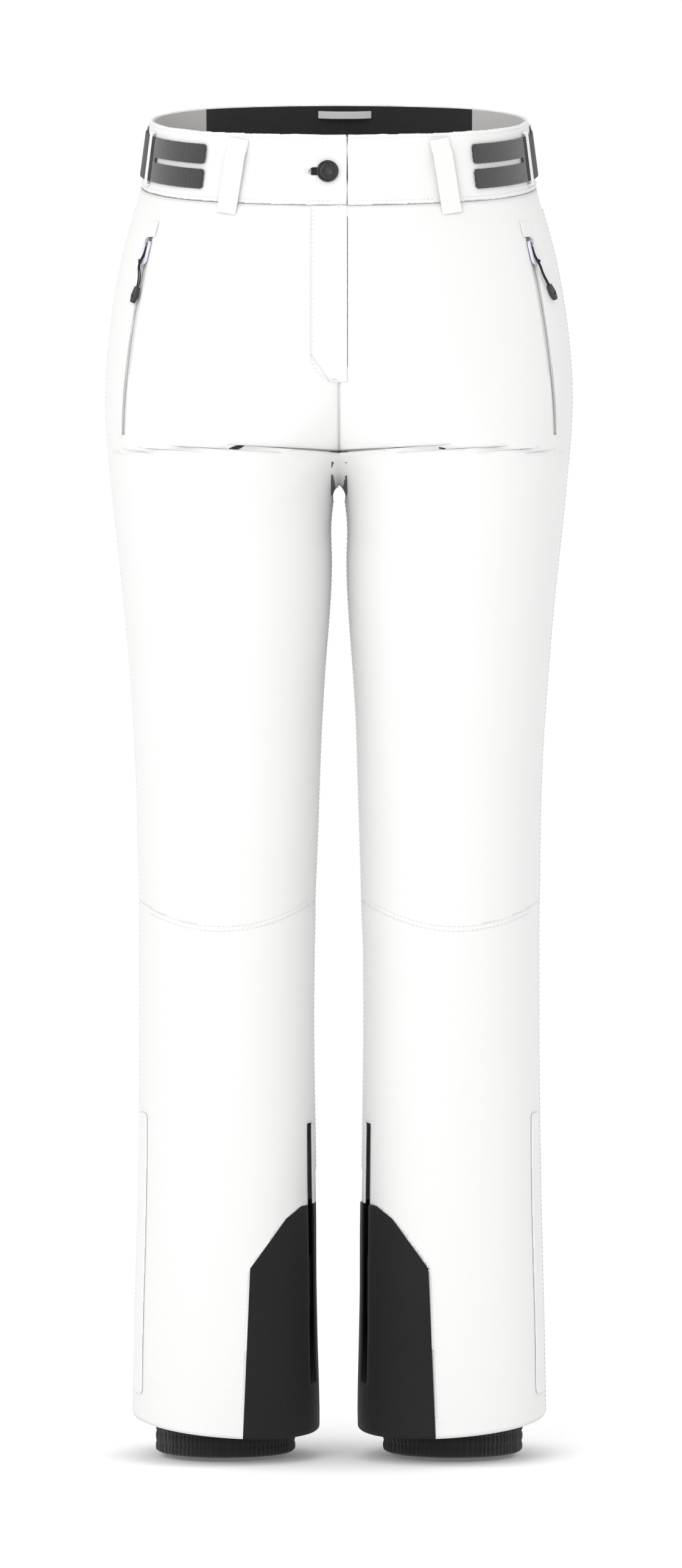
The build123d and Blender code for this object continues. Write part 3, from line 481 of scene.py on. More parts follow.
def slotPlanes():
    # each slot is two side planes and two end planes, as (point, outward normal)
    low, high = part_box("pocket_zip_tape_left")
    top = Vector((low.x, low.y, high.z - cuts["pocketEnd"]))
    foot = Vector((high.x, high.y, low.z + cuts["pocketEnd"]))
    zipEnd = Vector((0, 0, cuts["zipEnd"]))
    pocket = [(pocketCentre + pocketAxis * (side * cuts["pocketHalf"]), pocketAxis * side)
              for side in (-1, 1)]
    pocket += [(top, Vector((0, 0, 1))), (foot, Vector((0, 0, -1)))]
    legLow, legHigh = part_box("leg_zip_tape_left")
    legMiddle = (legLow + legHigh) / 2
    across = Vector((0, 1, 0))
    leg = [(legMiddle + across * (side * cuts["legHalf"]), across * side) for side in (-1, 1)]
    leg += [(legHigh - zipEnd, Vector((0, 0, 1))), (legLow + zipEnd, Vector((0, 0, -1)))]
    flyLow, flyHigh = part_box("fly_zip_tape")
    fly = [(Vector((cuts["flyHalf"], 0, 0)), Vector((1, 0, 0)))]
    fly += [(flyHigh - zipEnd, Vector((0, 0, 1))), (flyLow + zipEnd, Vector((0, 0, -1)))]
    return [(pocket, "pocket"), (leg, "leg"), (fly, "fly")]


def edgePlanes(points, keepSide):
    planes = []
    for (x0, z0), (x1, z1) in zip(points, points[1:]):
        along = Vector((x1 - x0, 0, z1 - z0))
        normal = Vector((-along.z, 0, along.x)).normalized() * keepSide
        planes.append((Vector((x0, 0, z0)), normal))
    return planes


def inside(point, planes, slack=0.0):
    return all((point - at).dot(normal) < slack for at, normal in planes)


def cutAll(bm, planes):
    for at, normal in planes:
        bmesh.ops.bisect_plane(bm, geom=bm.verts[:] + bm.edges[:] + bm.faces[:],
                               plane_co=at, plane_no=normal, dist=0.00002)


def cutLocal(bm, planes, box):
    # cuts only the faces near a slot, so that the rest keeps its even grid
    low, high = box
    for at, normal in planes:
        near = [f for f in bm.faces
                if all(low[k] < f.calc_center_median()[k] < high[k] for k in range(3))]
        geometry = set(near)
        for f in near:
            geometry.update(f.verts)
            geometry.update(f.edges)
        bmesh.ops.bisect_plane(bm, geom=list(geometry), plane_co=at, plane_no=normal,
                               dist=0.00002)


def gridMesh(grid):
    bm = bmesh.new()
    points = [[bm.verts.new(p) for p in row] for row in grid]
    for above, below in zip(points, points[1:]):
        for k in range(len(above) - 1):
            corners = (above[k], above[k + 1], below[k + 1], below[k])
            if (corners[0].co - corners[1].co).length > 1e-7:
                bm.faces.new(corners)
            else:
                bm.faces.new((corners[0], corners[2], corners[3]))
    return bm


slots = slotPlanes()
slotNodes = {"pocket": "pocket_zip_tape_left", "leg": "leg_zip_tape_left", "fly": "fly_zip_tape"}
kneePlanes = edgePlanes(cuts["kneeSeam"], -1)
guardPlanes = edgePlanes(cuts["guardEdge"], 1)


def slotBox(kind):
    low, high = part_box(slotNodes[kind])
    margin = Vector(cuts["slotMargin"])
    return low - margin, high + margin


def cutPanels(part):
    bm = gridMesh(grids[part])
    if part == "front":
        cutAll(bm, kneePlanes)
        for planes, kind in slots:
            cutLocal(bm, planes, slotBox(kind))
        doomed = []
        for f in bm.faces:
            centre = f.calc_center_median()
            if any(inside(centre, planes) for planes, kind in slots):
                doomed.append(f)
        bmesh.ops.delete(bm, geom=doomed, context="FACES")
    else:
        cutAll(bm, [(Vector((0, 0, cuts["backKnee"])), Vector((0, 0, 1)))])
    cutLocal(bm, guardPlanes, cuts["guardBox"])
    parts = {}
    for f in bm.faces:
        centre = f.calc_center_median()
        if inside(centre, guardPlanes):
            name = "scuffGuard"
        elif part == "front":
            name = "frontPanel" if inside(centre, kneePlanes) else "shinPanel"
        else:
            name = "backPanel" if centre.z > cuts["backKnee"] else "calfPanel"
        parts.setdefault(name, []).append([v.co.copy() for v in f.verts])
    bm.free()
    return parts


panelFaces = {}
for part in ("front", "back"):
    for name, faces in cutPanels(part).items():
        panelFaces.setdefault(name, []).extend(faces)
print("panels cut", {name: len(faces) for name, faces in panelFaces.items()})


# soft folds: metres outward at a point of the shell
folds = dict(broad=0.0011, broadScale=7.0, fine=0.00035, fineScale=24.0,
             drape=0.0016, drapeFrom=-0.2, drapeFull=-0.45,
             knee=0.0012, kneeZ=-0.63, kneeSpread=0.045,
             crotch=0.002, crotchZ=-0.27, crotchSpread=0.05, crotchHalf=0.06,
             centreCalm=0.012, legsFrom=-0.29, slotCalm=(0.006, 0.03))


def foldHeight(p):
    stretched = Vector((p.x * 1.5, p.y * 1.5, p.z * 0.45))
    height = folds["broad"] * noise.noise(stretched * folds["broadScale"])
    height += folds["fine"] * noise.noise(Vector((p.x, p.y, p.z * 0.7)) * folds["fineScale"])
    long = noise.noise(Vector((p.x * 13, p.y * 13, p.z * 1.6 + 4)))
    height += folds["drape"] * long * smoothStep(folds["drapeFrom"], folds["drapeFull"], p.z)
    nearKnee = exp(-((p.z - folds["kneeZ"]) / folds["kneeSpread"]) ** 2)
    height += folds["knee"] * nearKnee * noise.noise(Vector((p.x * 9, p.y * 9, p.z * 40)))
    nearCrotch = exp(-((p.z - folds["crotchZ"]) / folds["crotchSpread"]) ** 2)
    nearCrotch *= exp(-(p.x / folds["crotchHalf"]) ** 2)
    slant = noise.noise(Vector((p.x * 10, 3, (p.z + abs(p.x) * 0.9) * 38)))
    height += folds["crotch"] * nearCrotch * slant
    if p.z > folds["legsFrom"]:
        height *= smoothStep(0.0, folds["centreCalm"], abs(p.x))
    return height


slotBounds = {kind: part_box(node) for kind, node in slotNodes.items()}


def calmNear(p, kind):
    # 0 beside a zip's slot, 1 away from it
    low, high = slotBounds[kind]
    q = Vector((abs(p.x), p.y, p.z))
    gapOut = max(max(low[k] - q[k], q[k] - high[k], 0.0) for k in range(3))
    return smoothStep(*folds["slotCalm"], gapOut)


panelObjects = {}


def skinPoint(p):
    # outward direction taken level from the leg's middle, which is close to the shell's normal
    centre = Vector((centreX(p.z) * (1 if p.x >= 0 else -1), shell["sideSeamY"], p.z))
    away = p - centre
    return away.normalized() if away.length > 1e-6 else Vector((0, 0, 0))


def buildPanel(name, side):
    sign = sides[side]
    bm = bmesh.new()
    seen = {}

    def vertexAt(p):
        key = (round(p.x, 6), round(p.y, 6), round(p.z, 6))
        if key not in seen:
            q = Vector((p.x * sign, p.y, p.z))
            calm = calmNear(q, "pocket") * calmNear(q, "leg") * calmNear(q, "fly")
            lift = foldHeight(q) * calm
            way = skinPoint(q)
            seen[key] = bm.verts.new(q + way * lift)
        return seen[key]

    for corners in panelFaces[name]:
        ring = []
        for p in corners:
            v = vertexAt(p)
            if v not in ring:
                ring.append(v)
        if len(ring) > 2:
            if sign < 0:
                ring.reverse()
            try:
                bm.faces.new(ring)
            except ValueError:
                pass
    bmesh.ops.recalc_face_normals(bm, faces=bm.faces[:])
    outward = sum(f.normal.dot(skinPoint(f.calc_center_median())) * f.calc_area()
                  for f in bm.faces)
    if outward < 0:
        bmesh.ops.reverse_faces(bm, faces=bm.faces[:])
    mat = "guardBlack" if name == "scuffGuard" else "shellWhite"
    obj = newObject(f"{name}_{side}", bm, mat)
    solid = obj.modifiers.new("cloth", "SOLIDIFY")
    solid.thickness = shell["thickness"]
    solid.offset = -1
    applyModifiers(obj)
    for poly in obj.data.polygons:
        poly.use_smooth = True
    settle(obj, "root", [f"{panelNodes[name]}_{side}"])
    panelObjects[obj.name] = obj
    return obj


for side in sides:
    for name in panelNodes:
        buildPanel(name, side)
print("panels sewn")


# ---- soft copies of the frame's smaller cloth pieces, with rolled edges
softPieces = {
    "waistband_front_{side}": dict(mat="shellWhite", voxel=0.0011, swell=0.0005),
    "waistband_back": dict(mat="shellWhite", voxel=0.0011, swell=0.0005),
    "waist_facing_back": dict(mat="facingBlack"),
    "waist_facing_sides": dict(mat="liningWhite"),
    "waist_tongue": dict(mat="facingBlack", voxel=0.0006),
    "belt_loop_back": dict(mat="shellWhite", voxel=0.0005),
    "belt_loop_front_{side}": dict(mat="shellWhite", voxel=0.0005),
    "fly_lap": dict(mat="shellWhite", voxel=0.0006),
    "fly_shield": dict(mat="facingBlack", voxel=0.0008),
    "leg_placket_{side}": dict(mat="shellWhite", voxel=0.0006),
    "adjuster_keeper_{side}": dict(mat="shellWhite", voxel=0.0003),
    "adjuster_tunnels": dict(mat="shellWhite", voxel=0.0007),
    "adjuster_strap_{side}": dict(mat="elasticBlack", voxel=0.0006),
    "adjuster_tab_{side}": dict(mat="hookBlack", voxel=0.0006),
    "pocket_bag_{side}": dict(mat="facingBlack", voxel=0.0011),
    "crotch_gusset": dict(mat="gussetGrey", voxel=0.0009),
    "hanger_loop": dict(mat="liningWhite", voxel=0.0003),
    "pocket_patches": dict(mat="shellWhite", voxel=0.0004),
    "pocket_welt_{side}": dict(mat="hemWhite", voxel=0.0005, swell=0.0002),
}
rolled = dict(factor=0.5, passes=4, weld=0.00001, bevel=0.0003, steps=2, corner=50,
              broadPuff=45.0, finePuff=110.0)


def softPiece(node, mat, voxel=None, swell=0.0):
    # with a voxel size the copy is remeshed and smoothed, without one its edges are bevelled
    source = nodes[node]
    mesh = source.data.copy()
    mesh.materials.clear()
    mesh.materials.append(mats[mat])
    words = node.split("_")
    name = words[0] + "".join(w.capitalize() for w in words[1:-1]) + "_" + words[-1]
    obj = bpy.data.objects.new(name, mesh)
    bpy.context.scene.collection.objects.link(obj)
    if voxel:
        remesh = obj.modifiers.new("even", "REMESH")
        remesh.mode = "VOXEL"
        remesh.voxel_size = voxel
        remesh.use_smooth_shade = True
        smooth = obj.modifiers.new("rolled", "SMOOTH")
        smooth.factor = rolled["factor"]
        smooth.iterations = rolled["passes"]
    else:
        weld = obj.modifiers.new("weld", "WELD")
        weld.merge_threshold = rolled["weld"]
        bevel = obj.modifiers.new("rolled", "BEVEL")
        bevel.width = rolled["bevel"]
        bevel.segments = rolled["steps"]
        bevel.limit_method = "ANGLE"
        bevel.angle_limit = radians(rolled["corner"])
    applyModifiers(obj)
    if swell:
        moved = []
        for v in obj.data.vertices:
            puff = noise.noise(v.co * rolled["broadPuff"])
            puff += 0.5 * noise.noise(v.co * rolled["finePuff"])
            moved.extend(v.co + v.normal * (swell * puff))
        obj.data.vertices.foreach_set("co", moved)
        obj.data.update()
    if voxel:
        obj.data.shade_smooth()
    else:
        obj.data.shade_flat()
    return settle(obj, source["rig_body"], [node])


for pattern, values in softPieces.items():
    for side in sides if "{side}" in pattern else ["both"]:
        softPiece(pattern.format(side=side), **values)
print("small cloth pieces made")


# ---- snow gaiters: a ruched elastic cuff under a loose sleeve
gaiter = dict(pleats=84, columns=504, cuffRows=30, skirtRows=44, pleatDepth=0.0011,
              shirring=3, shirrDepth=0.0009, wall=0.0009, blendFrom=-0.93, seed=2.0,
              curl=0.0012, curlFrom=0.93, cuffInset=0.0006, skirtInset=0.0004, easeFrom=0.25,
              skirtPleats=(0.2, 1.4))


def pleatWave(angle, z):
    # 0 to about 1: pleats that wander and vary in height
    seed = gaiter["seed"]
    wander = noise.noise(Vector((cos(angle) * 3, sin(angle) * 3, z * 14 + seed)))
    height = noise.noise(Vector((cos(angle) * 11, sin(angle) * 11, z * 30 + seed)))
    wave = sin(gaiter["pleats"] * angle + wander * 5.5)
    return (0.5 + 0.5 * wave) ** 0.7 * (0.75 + 0.5 * height)


def gaiterMesh(rings):
    # rings: height, middle, half width, half depth, pleat share
    bm = bmesh.new()
    layers = []
    for z, middle, halfWidth, halfDepth, share in rings:
        row = []
        for k in range(gaiter["columns"]):
            angle = 2 * pi * k / gaiter["columns"]
            out = gaiter["pleatDepth"] * (pleatWave(angle, z) - 1.0) * share
            x = middle.x + cos(angle) * (halfWidth + out)
            y = middle.y + sin(angle) * (halfDepth + out)
            row.append(bm.verts.new((x, y, z)))
        layers.append(row)
    for above, below in zip(layers, layers[1:]):
        for k in range(gaiter["columns"]):
            n = (k + 1) % gaiter["columns"]
            bm.faces.new((above[k], below[k], below[n], above[n]))
    return bm


def buildGaiter(side):
    cuffLow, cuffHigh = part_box(f"gaiter_elastic_{side}")
    skirtLow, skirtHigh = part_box(f"gaiter_skirt_{side}")
    middle, topMiddle = (cuffLow + cuffHigh) / 2, (skirtLow + skirtHigh) / 2
    halfW, halfD = (cuffHigh.x - cuffLow.x) / 2, (cuffHigh.y - cuffLow.y) / 2
    topW, topD = (skirtHigh.x - skirtLow.x) / 2, (skirtHigh.y - skirtLow.y) / 2
    rings = []
    for i in range(gaiter["cuffRows"] + 1):
        share = i / gaiter["cuffRows"]
        z = cuffHigh.z + (cuffLow.z - cuffHigh.z) * share
        bulge = abs(sin(pi * gaiter["shirring"] * share)) ** 0.6 * gaiter["shirrDepth"]
        curl = gaiter["curl"] * smoothStep(gaiter["curlFrom"], 1.0, share)
        grow = bulge - gaiter["cuffInset"] - curl
        rings.append((z, middle, halfW + grow, halfD + grow, 1.0))
    cuff = newObject(f"gaiterCuff_{side}", gaiterMesh(rings), "elasticBlack")
    rings = []
    for i in range(gaiter["skirtRows"] + 1):
        share = i / gaiter["skirtRows"]
        z = skirtHigh.z + (skirtLow.z - skirtHigh.z) * share
        ease = smoothStep(gaiter["easeFrom"], 1.0, share)
        at = topMiddle.lerp(middle, ease)
        width = topW + (halfW - topW) * ease - gaiter["skirtInset"]
        depth = topD + (halfD - topD) * ease - gaiter["skirtInset"]
        few, many = gaiter["skirtPleats"]
        rings.append((z, at, width, depth, few + (many - few) * ease))
    skirt = newObject(f"gaiterSkirt_{side}", gaiterMesh(rings), "elasticBlack")
    for obj in (cuff, skirt):
        solid = obj.modifiers.new("cloth", "SOLIDIFY")
        solid.thickness = gaiter["wall"]
        solid.offset = -1
        applyModifiers(obj)
    settle(cuff, f"gaiter_{side}", [f"gaiter_elastic_{side}"])
    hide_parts(f"gaiter_skirt_{side}")
    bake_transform(skirt)


for side in sides:
    buildGaiter(side)
print("gaiters ruched")


# ---- seams and stitching, laid on the sewn panels
skinTree = objectTree(panelObjects.values())
seamStyle = dict(step=0.004, ribbon=0.0055, ridge=0.0004, rowShift=0.0019, stitch=0.0026,
                 space=0.0011, thread=0.00028, threadLift=0.0001, endDip=0.0002,
                 search=0.004, steady=0.85, calmPasses=6)


def evenly(points, step):
    # the line's points again, a fixed step apart
    out = [points[0].copy()]
    left = step
    for a, b in zip(points, points[1:]):
        run = (b - a).length
        at = 0.0
        while run - at >= left:
            at += left
            out.append(a.lerp(b, at / run))
            left = step
        left -= run - at
    return out


def onSkin(points, outward=None):
    # pairs of place and normal where the run lies on the cloth
    run = []
    for p in evenly(points, seamStyle["step"]):
        way = outward or skinPoint(p)
        found = skinTree.find_nearest(p + way * seamStyle["search"])
        normal = found[1] if found[1].dot(way) > 0 else -found[1]
        steady = normal.dot(way) > seamStyle["steady"]
        run.append((found[0], normal if steady else way.normalized()))
    # evens out the steps where the run crosses a joint between two panels
    for _ in range(seamStyle["calmPasses"]):
        calm = [((a[0] + b[0] * 2 + c[0]) / 4, (a[1] + b[1] * 2 + c[1]).normalized())
                for a, b, c in zip(run, run[1:], run[2:])]
        run = run[:1] + calm + run[-1:]
    return run


def mirrored(points, sign):
    return [Vector((p.x * sign, p.y, p.z)) for p in points]


def frames(run, shift=0.0):
    out = []
    for k, (p, normal) in enumerate(run):
        before, after = run[max(0, k - 1)][0], run[min(len(run) - 1, k + 1)][0]
        along = (after - before).normalized()
        across = along.cross(normal).normalized()
        out.append((p + across * shift, along, across, normal))
    return out


def addRibbon(run):
    width, height = seamStyle["ribbon"], seamStyle["ridge"]
    shape = [(-0.5, -height), (-0.36, height), (0.0, height * 1.15), (0.36, height), (0.5, -height)]
    rows = []
    for p, along, across, normal in frames(run):
        rows.append([seamBm.verts.new(p + across * (width * u) + normal * h) for u, h in shape])
    for a, b in zip(rows, rows[1:]):
        for k in range(len(a) - 1):
            seamBm.faces.new((a[k], a[k + 1], b[k + 1], b[k]))


def addStitches(run, shift=0.0, lift=0.0):
    pitch = seamStyle["stitch"] + seamStyle["space"]
    line = frames(run, shift)
    at = 0.0
    for (a, _, across, normal), (b, *_) in zip(line, line[1:]):
        gap = (b - a).length
        while at < gap:
            middle = a.lerp(b, at / gap)
            half = (b - a).normalized() * (seamStyle["stitch"] / 2)
            ends = []
            for end, size in ((-1, 0.3), (-0.6, 1.0), (0.6, 1.0), (1, 0.3)):
                dip = seamStyle["endDip"] if abs(end) == 1 else 0
                centre = middle + half * end + normal * (lift - dip)
                r = seamStyle["thread"] * size
                ends.append([threadBm.verts.new(centre + (across * c + normal * s) * r)
                             for c, s in ((1, 0), (0, 1), (-1, 0), (0, -1))])
            for p, q in zip(ends, ends[1:]):
                for k in range(4):
                    threadBm.faces.new((p[k], p[(k + 1) % 4], q[(k + 1) % 4], q[k]))
            at += pitch
        at -= gap


def addSeam(run):
    # a ridge with a row of stitches on each side of its middle
    addRibbon(run)
    for shift in (-seamStyle["rowShift"], seamStyle["rowShift"]):
        addStitches(run, shift, seamStyle["ridge"] + seamStyle["threadLift"])


bartack = dict(length=0.009, width=0.0018, height=0.0006, half=0.00032, threads=12)


def addBartack(place, along, normal):
    across = along.cross(normal).normalized()
    high = bartack["height"]
    for k in range(bartack["threads"]):
        share = k / (bartack["threads"] - 1) - 0.5
        centre = place + along * (bartack["length"] * share)
        corners = []
        for u, h in ((-0.5, 0.0), (-0.3, high), (0.3, high), (0.5, 0.0)):
            for s in (-bartack["half"], bartack["half"]):
                corner = centre + across * (bartack["width"] * u) + along * s + normal * h
                corners.append(threadBm.verts.new(corner))
        for a in range(0, 6, 2):
            threadBm.faces.new((corners[a], corners[a + 1], corners[a + 3], corners[a + 2]))


frontGrid, backGrid = grids["front"], grids["back"]
columns = shell["columns"]
seamRuns = dict(hemRow=shell["rows"] - 4, crotchZ=-0.292, sideTop=-0.07, sideFoot=-1.045,
                insideDrop=0.01, insideFoot=-0.84, kneeSteps=24, kneeFrom=0.024, kneeTo=0.150,
                kneeZ=-0.643, kneeRise=0.0255, kneeMiddle=0.092, kneeHalf=0.078,
                guardFoot=-1.05, guardFrom=0.021, guardSteps=8, guardShift=0.0018,
                centreTop=-0.222, centreShift=0.0025, backTop=-0.05)


def column(grid, k, start, stop):
    return [row[k] for row in grid if stop < row[k].z < start]


def frontPlaces(line):
    # where a line of (x, z) places falls on the front of the cloth
    found = [frontHit(skinTree, x, z) for x, z in line]
    return [hit[0] for hit in found if hit]


def kneeLine():
    line = []
    for k in range(seamRuns["kneeSteps"] + 1):
        share = k / seamRuns["kneeSteps"]
        x = seamRuns["kneeFrom"] + (seamRuns["kneeTo"] - seamRuns["kneeFrom"]) * share
        rise = ((x - seamRuns["kneeMiddle"]) / seamRuns["kneeHalf"]) ** 2
        line.append((x, seamRuns["kneeZ"] + seamRuns["kneeRise"] * rise))
    return line


def guardLine():
    line, steps = [], seamRuns["guardSteps"]
    for (x0, z0), (x1, z1) in zip(cuts["guardEdge"], cuts["guardEdge"][1:]):
        line += [(x0 + (x1 - x0) * k / steps, z0 + (z1 - z0) * k / steps) for k in range(steps)]
    return [(x, z) for x, z in line if z > seamRuns["guardFoot"] and x > seamRuns["guardFrom"]]


seamBm, threadBm = bmesh.new(), bmesh.new()
crotchZ, hemRow = seamRuns["crotchZ"], seamRuns["hemRow"]
sideSeam = column(frontGrid, columns, seamRuns["sideTop"], seamRuns["sideFoot"])
insideSeam = column(frontGrid, 0, crotchZ - seamRuns["insideDrop"], seamRuns["insideFoot"])
kneeSeam, guardFront = frontPlaces(kneeLine()), frontPlaces(guardLine())
hemLine = [frontGrid[hemRow][k] for k in range(columns + 1)]
hemLine += [backGrid[hemRow][k] for k in range(columns, -1, -1)]
for side, sign in sides.items():
    for points in (sideSeam, insideSeam, kneeSeam):
        addSeam(onSkin(mirrored(points, sign)))
    addStitches(onSkin(mirrored(hemLine, sign)))
    addStitches(onSkin(mirrored(guardFront, sign)), -seamRuns["guardShift"] * sign)
frontSeam = onSkin(column(frontGrid, 0, seamRuns["centreTop"], crotchZ), Vector((0, -1, 0)))
for shift in (seamRuns["centreShift"], -seamRuns["centreShift"]):
    addStitches(frontSeam, shift)
addSeam(onSkin(column(backGrid, 0, seamRuns["backTop"], crotchZ), Vector((0, 1, 0))))


# fly: the J of topstitching that holds the shield, on the lap
flyStitch = dict(x=-0.0205, top=-0.082, turn=-0.196, foot=-0.214, footX=-0.004, rowGap=0.0016,
                 straightSteps=30, curveSteps=12, tackBack=0.001, tackWay=(0.9, 0, -0.43))
lapTree = objectTree([nodes["fly_lap"]] + list(panelObjects.values()))


def flyLine():
    x, top, turn = flyStitch["x"], flyStitch["top"], flyStitch["turn"]
    line = [Vector((x, 0, top + (turn - top) * k / flyStitch["straightSteps"]))
            for k in range(flyStitch["straightSteps"] + 1)]
    for k in range(1, flyStitch["curveSteps"] + 1):
        t = k / flyStitch["curveSteps"] * pi / 2
        line.append(Vector((x + (flyStitch["footX"] - x) * (1 - cos(t)), 0,
                            turn + (flyStitch["foot"] - turn) * sin(t))))
    return line


jLine = flyLine()
hits = [frontHit(lapTree, p.x, p.z) for p in evenly(jLine, seamStyle["step"])]
for shift in (0.0, flyStitch["rowGap"]):
    addStitches([hit for hit in hits if hit], shift, seamStyle["threadLift"])
foot = frontHit(lapTree, jLine[-1].x - flyStitch["tackBack"], jLine[-1].z)
addBartack(foot[0], Vector(flyStitch["tackWay"]).normalized(), foot[1])
print("stitching laid on the panels")


# ---- topstitching round the waistband
bandTree = objectTree([o for o in bpy.data.objects if o.name.startswith("waistband")])
bandStitch = dict(drops=[0.0025, 0.0505], stepDegrees=1.2, start=-86.0, stop=266.0)


def bandPoint(angle, drop):
    # a place on the band's outside, found along a ray in the waist's own tilted plane
    up = waistNormal
    right = Vector((1, 0, 0))
    rear = up.cross(right)
    way = right * cos(angle) + rear * sin(angle)
    start = way * far - up * drop
    hit = bandTree.ray_cast(start, -way, far)
    return (hit[0], hit[1] if hit[1].dot(way) > 0 else -hit[1]) if hit[0] else None


def bandRun(drop, first, last):
    count = int(abs(last - first) / radians(bandStitch["stepDegrees"]))
    found = [bandPoint(first + (last - first) * k / count, drop) for k in range(count + 1)]
    return [f for f in found if f]


for drop in bandStitch["drops"]:
    addStitches(bandRun(drop, radians(bandStitch["start"]), radians(bandStitch["stop"])))

stitching = newObject("stitching", threadBm, "threadWhite")
settle(stitching, "root")
ridges = newObject("seamRidges", seamBm, "shellWhite")
settle(ridges, "root")
print("waistband stitched")


# ---- button: a domed rim, a ring of beads and a dished middle
button = dict(segments=72, beads=28, ringRadius=0.0062, beadRadius=0.00042, beadHeight=0.0017,
              seat=0.0026, shankRadii=(0.0023, 0.0026), shankSegments=32)
buttonProfile = [  # radius and height off the cloth, from the middle out and back in
    (0.0, 0.0011), (0.0018, 0.0010), (0.0036, 0.0012), (0.0044, 0.0018), (0.0049, 0.0021),
    (0.0053, 0.0017), (0.0057, 0.0016), (0.0068, 0.0016), (0.0072, 0.0018), (0.0076, 0.0024),
    (0.0081, 0.0024), (0.0085, 0.0017), (0.0085, 0.0006), (0.0079, 0.0001), (0.0060, 0.0),
    (0.0, 0.0),
]
buttonhole = dict(start=0.0085, length=0.009, steps=8, rowShift=0.0011, threads=4,
                  threadGap=0.00028, half=0.0009, height=0.00045, threadHalf=0.00012)


def buildButton():
    low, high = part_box("button_cap")
    centre = Vector(joints["button_turn"]["pos_m"])
    middle = Vector((centre.x, low.y + button["seat"], centre.z))
    bm = bmesh.new()
    rings = []
    for r, h in buttonProfile:
        row = []
        for k in range(button["segments"]):
            a = 2 * pi * k / button["segments"]
            row.append(bm.verts.new(middle + Vector((r * cos(a), -h, r * sin(a)))))
        rings.append(row)
    for a, b in zip(rings, rings[1:]):
        for k in range(button["segments"]):
            n = (k + 1) % button["segments"]
            bm.faces.new((a[k], a[n], b[n], b[k]))
    bmesh.ops.remove_doubles(bm, verts=bm.verts[:], dist=1e-6)
    for k in range(button["beads"]):
        a = 2 * pi * k / button["beads"]
        r = button["ringRadius"]
        at = middle + Vector((r * cos(a), -button["beadHeight"], r * sin(a)))
        bmesh.ops.create_icosphere(bm, subdivisions=2, radius=button["beadRadius"],
                                   matrix=Matrix.Translation(at))
    shankLength = high.y - middle.y
    narrow, wide = button["shankRadii"]
    bmesh.ops.create_cone(
        bm, cap_ends=True, segments=button["shankSegments"], radius1=narrow, radius2=wide,
        depth=shankLength, matrix=Matrix.Translation(middle + Vector((0, shankLength / 2, 0)))
        @ Matrix.Rotation(pi / 2, 4, "X"))
    bmesh.ops.recalc_face_normals(bm, faces=bm.faces[:])
    cap = newObject("buttonCap", bm, "buttonBlack")
    settle(cap, "button", ["button_cap"])


def buildButtonhole():
    # rows of dense thread above and below the slot, which runs from the button sideways
    centre = Vector(joints["button_turn"]["pos_m"])
    bm = bmesh.new()
    line = []
    for k in range(buttonhole["steps"] + 1):
        share = k / buttonhole["steps"]
        x = centre.x - buttonhole["start"] - buttonhole["length"] * share
        line.append(frontHit(bandTree, x, centre.z))
    line = [hit for hit in line if hit]
    half, thin = buttonhole["half"], buttonhole["threadHalf"]
    for shift in (-buttonhole["rowShift"], buttonhole["rowShift"]):
        for p, along, across, normal in frames(line, shift):
            for s in range(buttonhole["threads"]):
                at = p + along * (buttonhole["threadGap"] * s)
                vs = [bm.verts.new(at + across * u + normal * h + along * w)
                      for u, h in ((-half, 0.0), (0.0, buttonhole["height"]), (half, 0.0))
                      for w in (-thin, thin)]
                bm.faces.new((vs[0], vs[1], vs[3], vs[2]))
                bm.faces.new((vs[2], vs[3], vs[5], vs[4]))
    settle(newObject("buttonholeStitches", bm, "threadWhite"), "root")


buildButton()
buildButtonhole()
print("button made")


# ---- pullers, cords and toggles
mouldVoxel = 0.00022
cordRoutes = {  # both strands, from the puller round the toggle and back
    "left": [
        (0.1511, -0.0509, -0.1055), (0.1522, -0.0515, -0.1098), (0.1539, -0.0525, -0.1138),
        (0.1560, -0.0537, -0.1177), (0.1582, -0.0529, -0.1220), (0.1600, -0.0501, -0.1272),
        (0.1627, -0.0474, -0.1322), (0.1654, -0.0449, -0.1368), (0.1666, -0.0439, -0.1397),
        (0.1675, -0.0421, -0.1384), (0.1660, -0.0437, -0.1359), (0.1633, -0.0461, -0.1311),
        (0.1606, -0.0488, -0.1263), (0.1589, -0.0518, -0.1213), (0.1568, -0.0524, -0.1173),
        (0.1547, -0.0514, -0.1137), (0.1530, -0.0504, -0.1097), (0.1519, -0.0498, -0.1055),
    ],
    "right": [
        (-0.1511, -0.0509, -0.1056), (-0.1522, -0.0514, -0.1098), (-0.1540, -0.0523, -0.1138),
        (-0.1559, -0.0537, -0.1175), (-0.1572, -0.0542, -0.1219), (-0.1564, -0.0549, -0.1274),
        (-0.1566, -0.0557, -0.1335), (-0.1584, -0.0550, -0.1389), (-0.1593, -0.0549, -0.1421),
        (-0.1606, -0.0529, -0.1415), (-0.1594, -0.0535, -0.1385), (-0.1582, -0.0536, -0.1333),
        (-0.1578, -0.0532, -0.1276), (-0.1582, -0.0530, -0.1219), (-0.1568, -0.0525, -0.1174),
        (-0.1549, -0.0512, -0.1137), (-0.1531, -0.0503, -0.1097), (-0.1519, -0.0498, -0.1055),
    ],
}
cord = dict(diameter=0.0011, lengths=dict(left=0.0803, right=0.0778), knotAt=3,
            knotRadius=0.0011, knotThread=0.00055, knotLift=0.0006, knotDepth=0.9,
            knotSteps=90, knotAround=10)


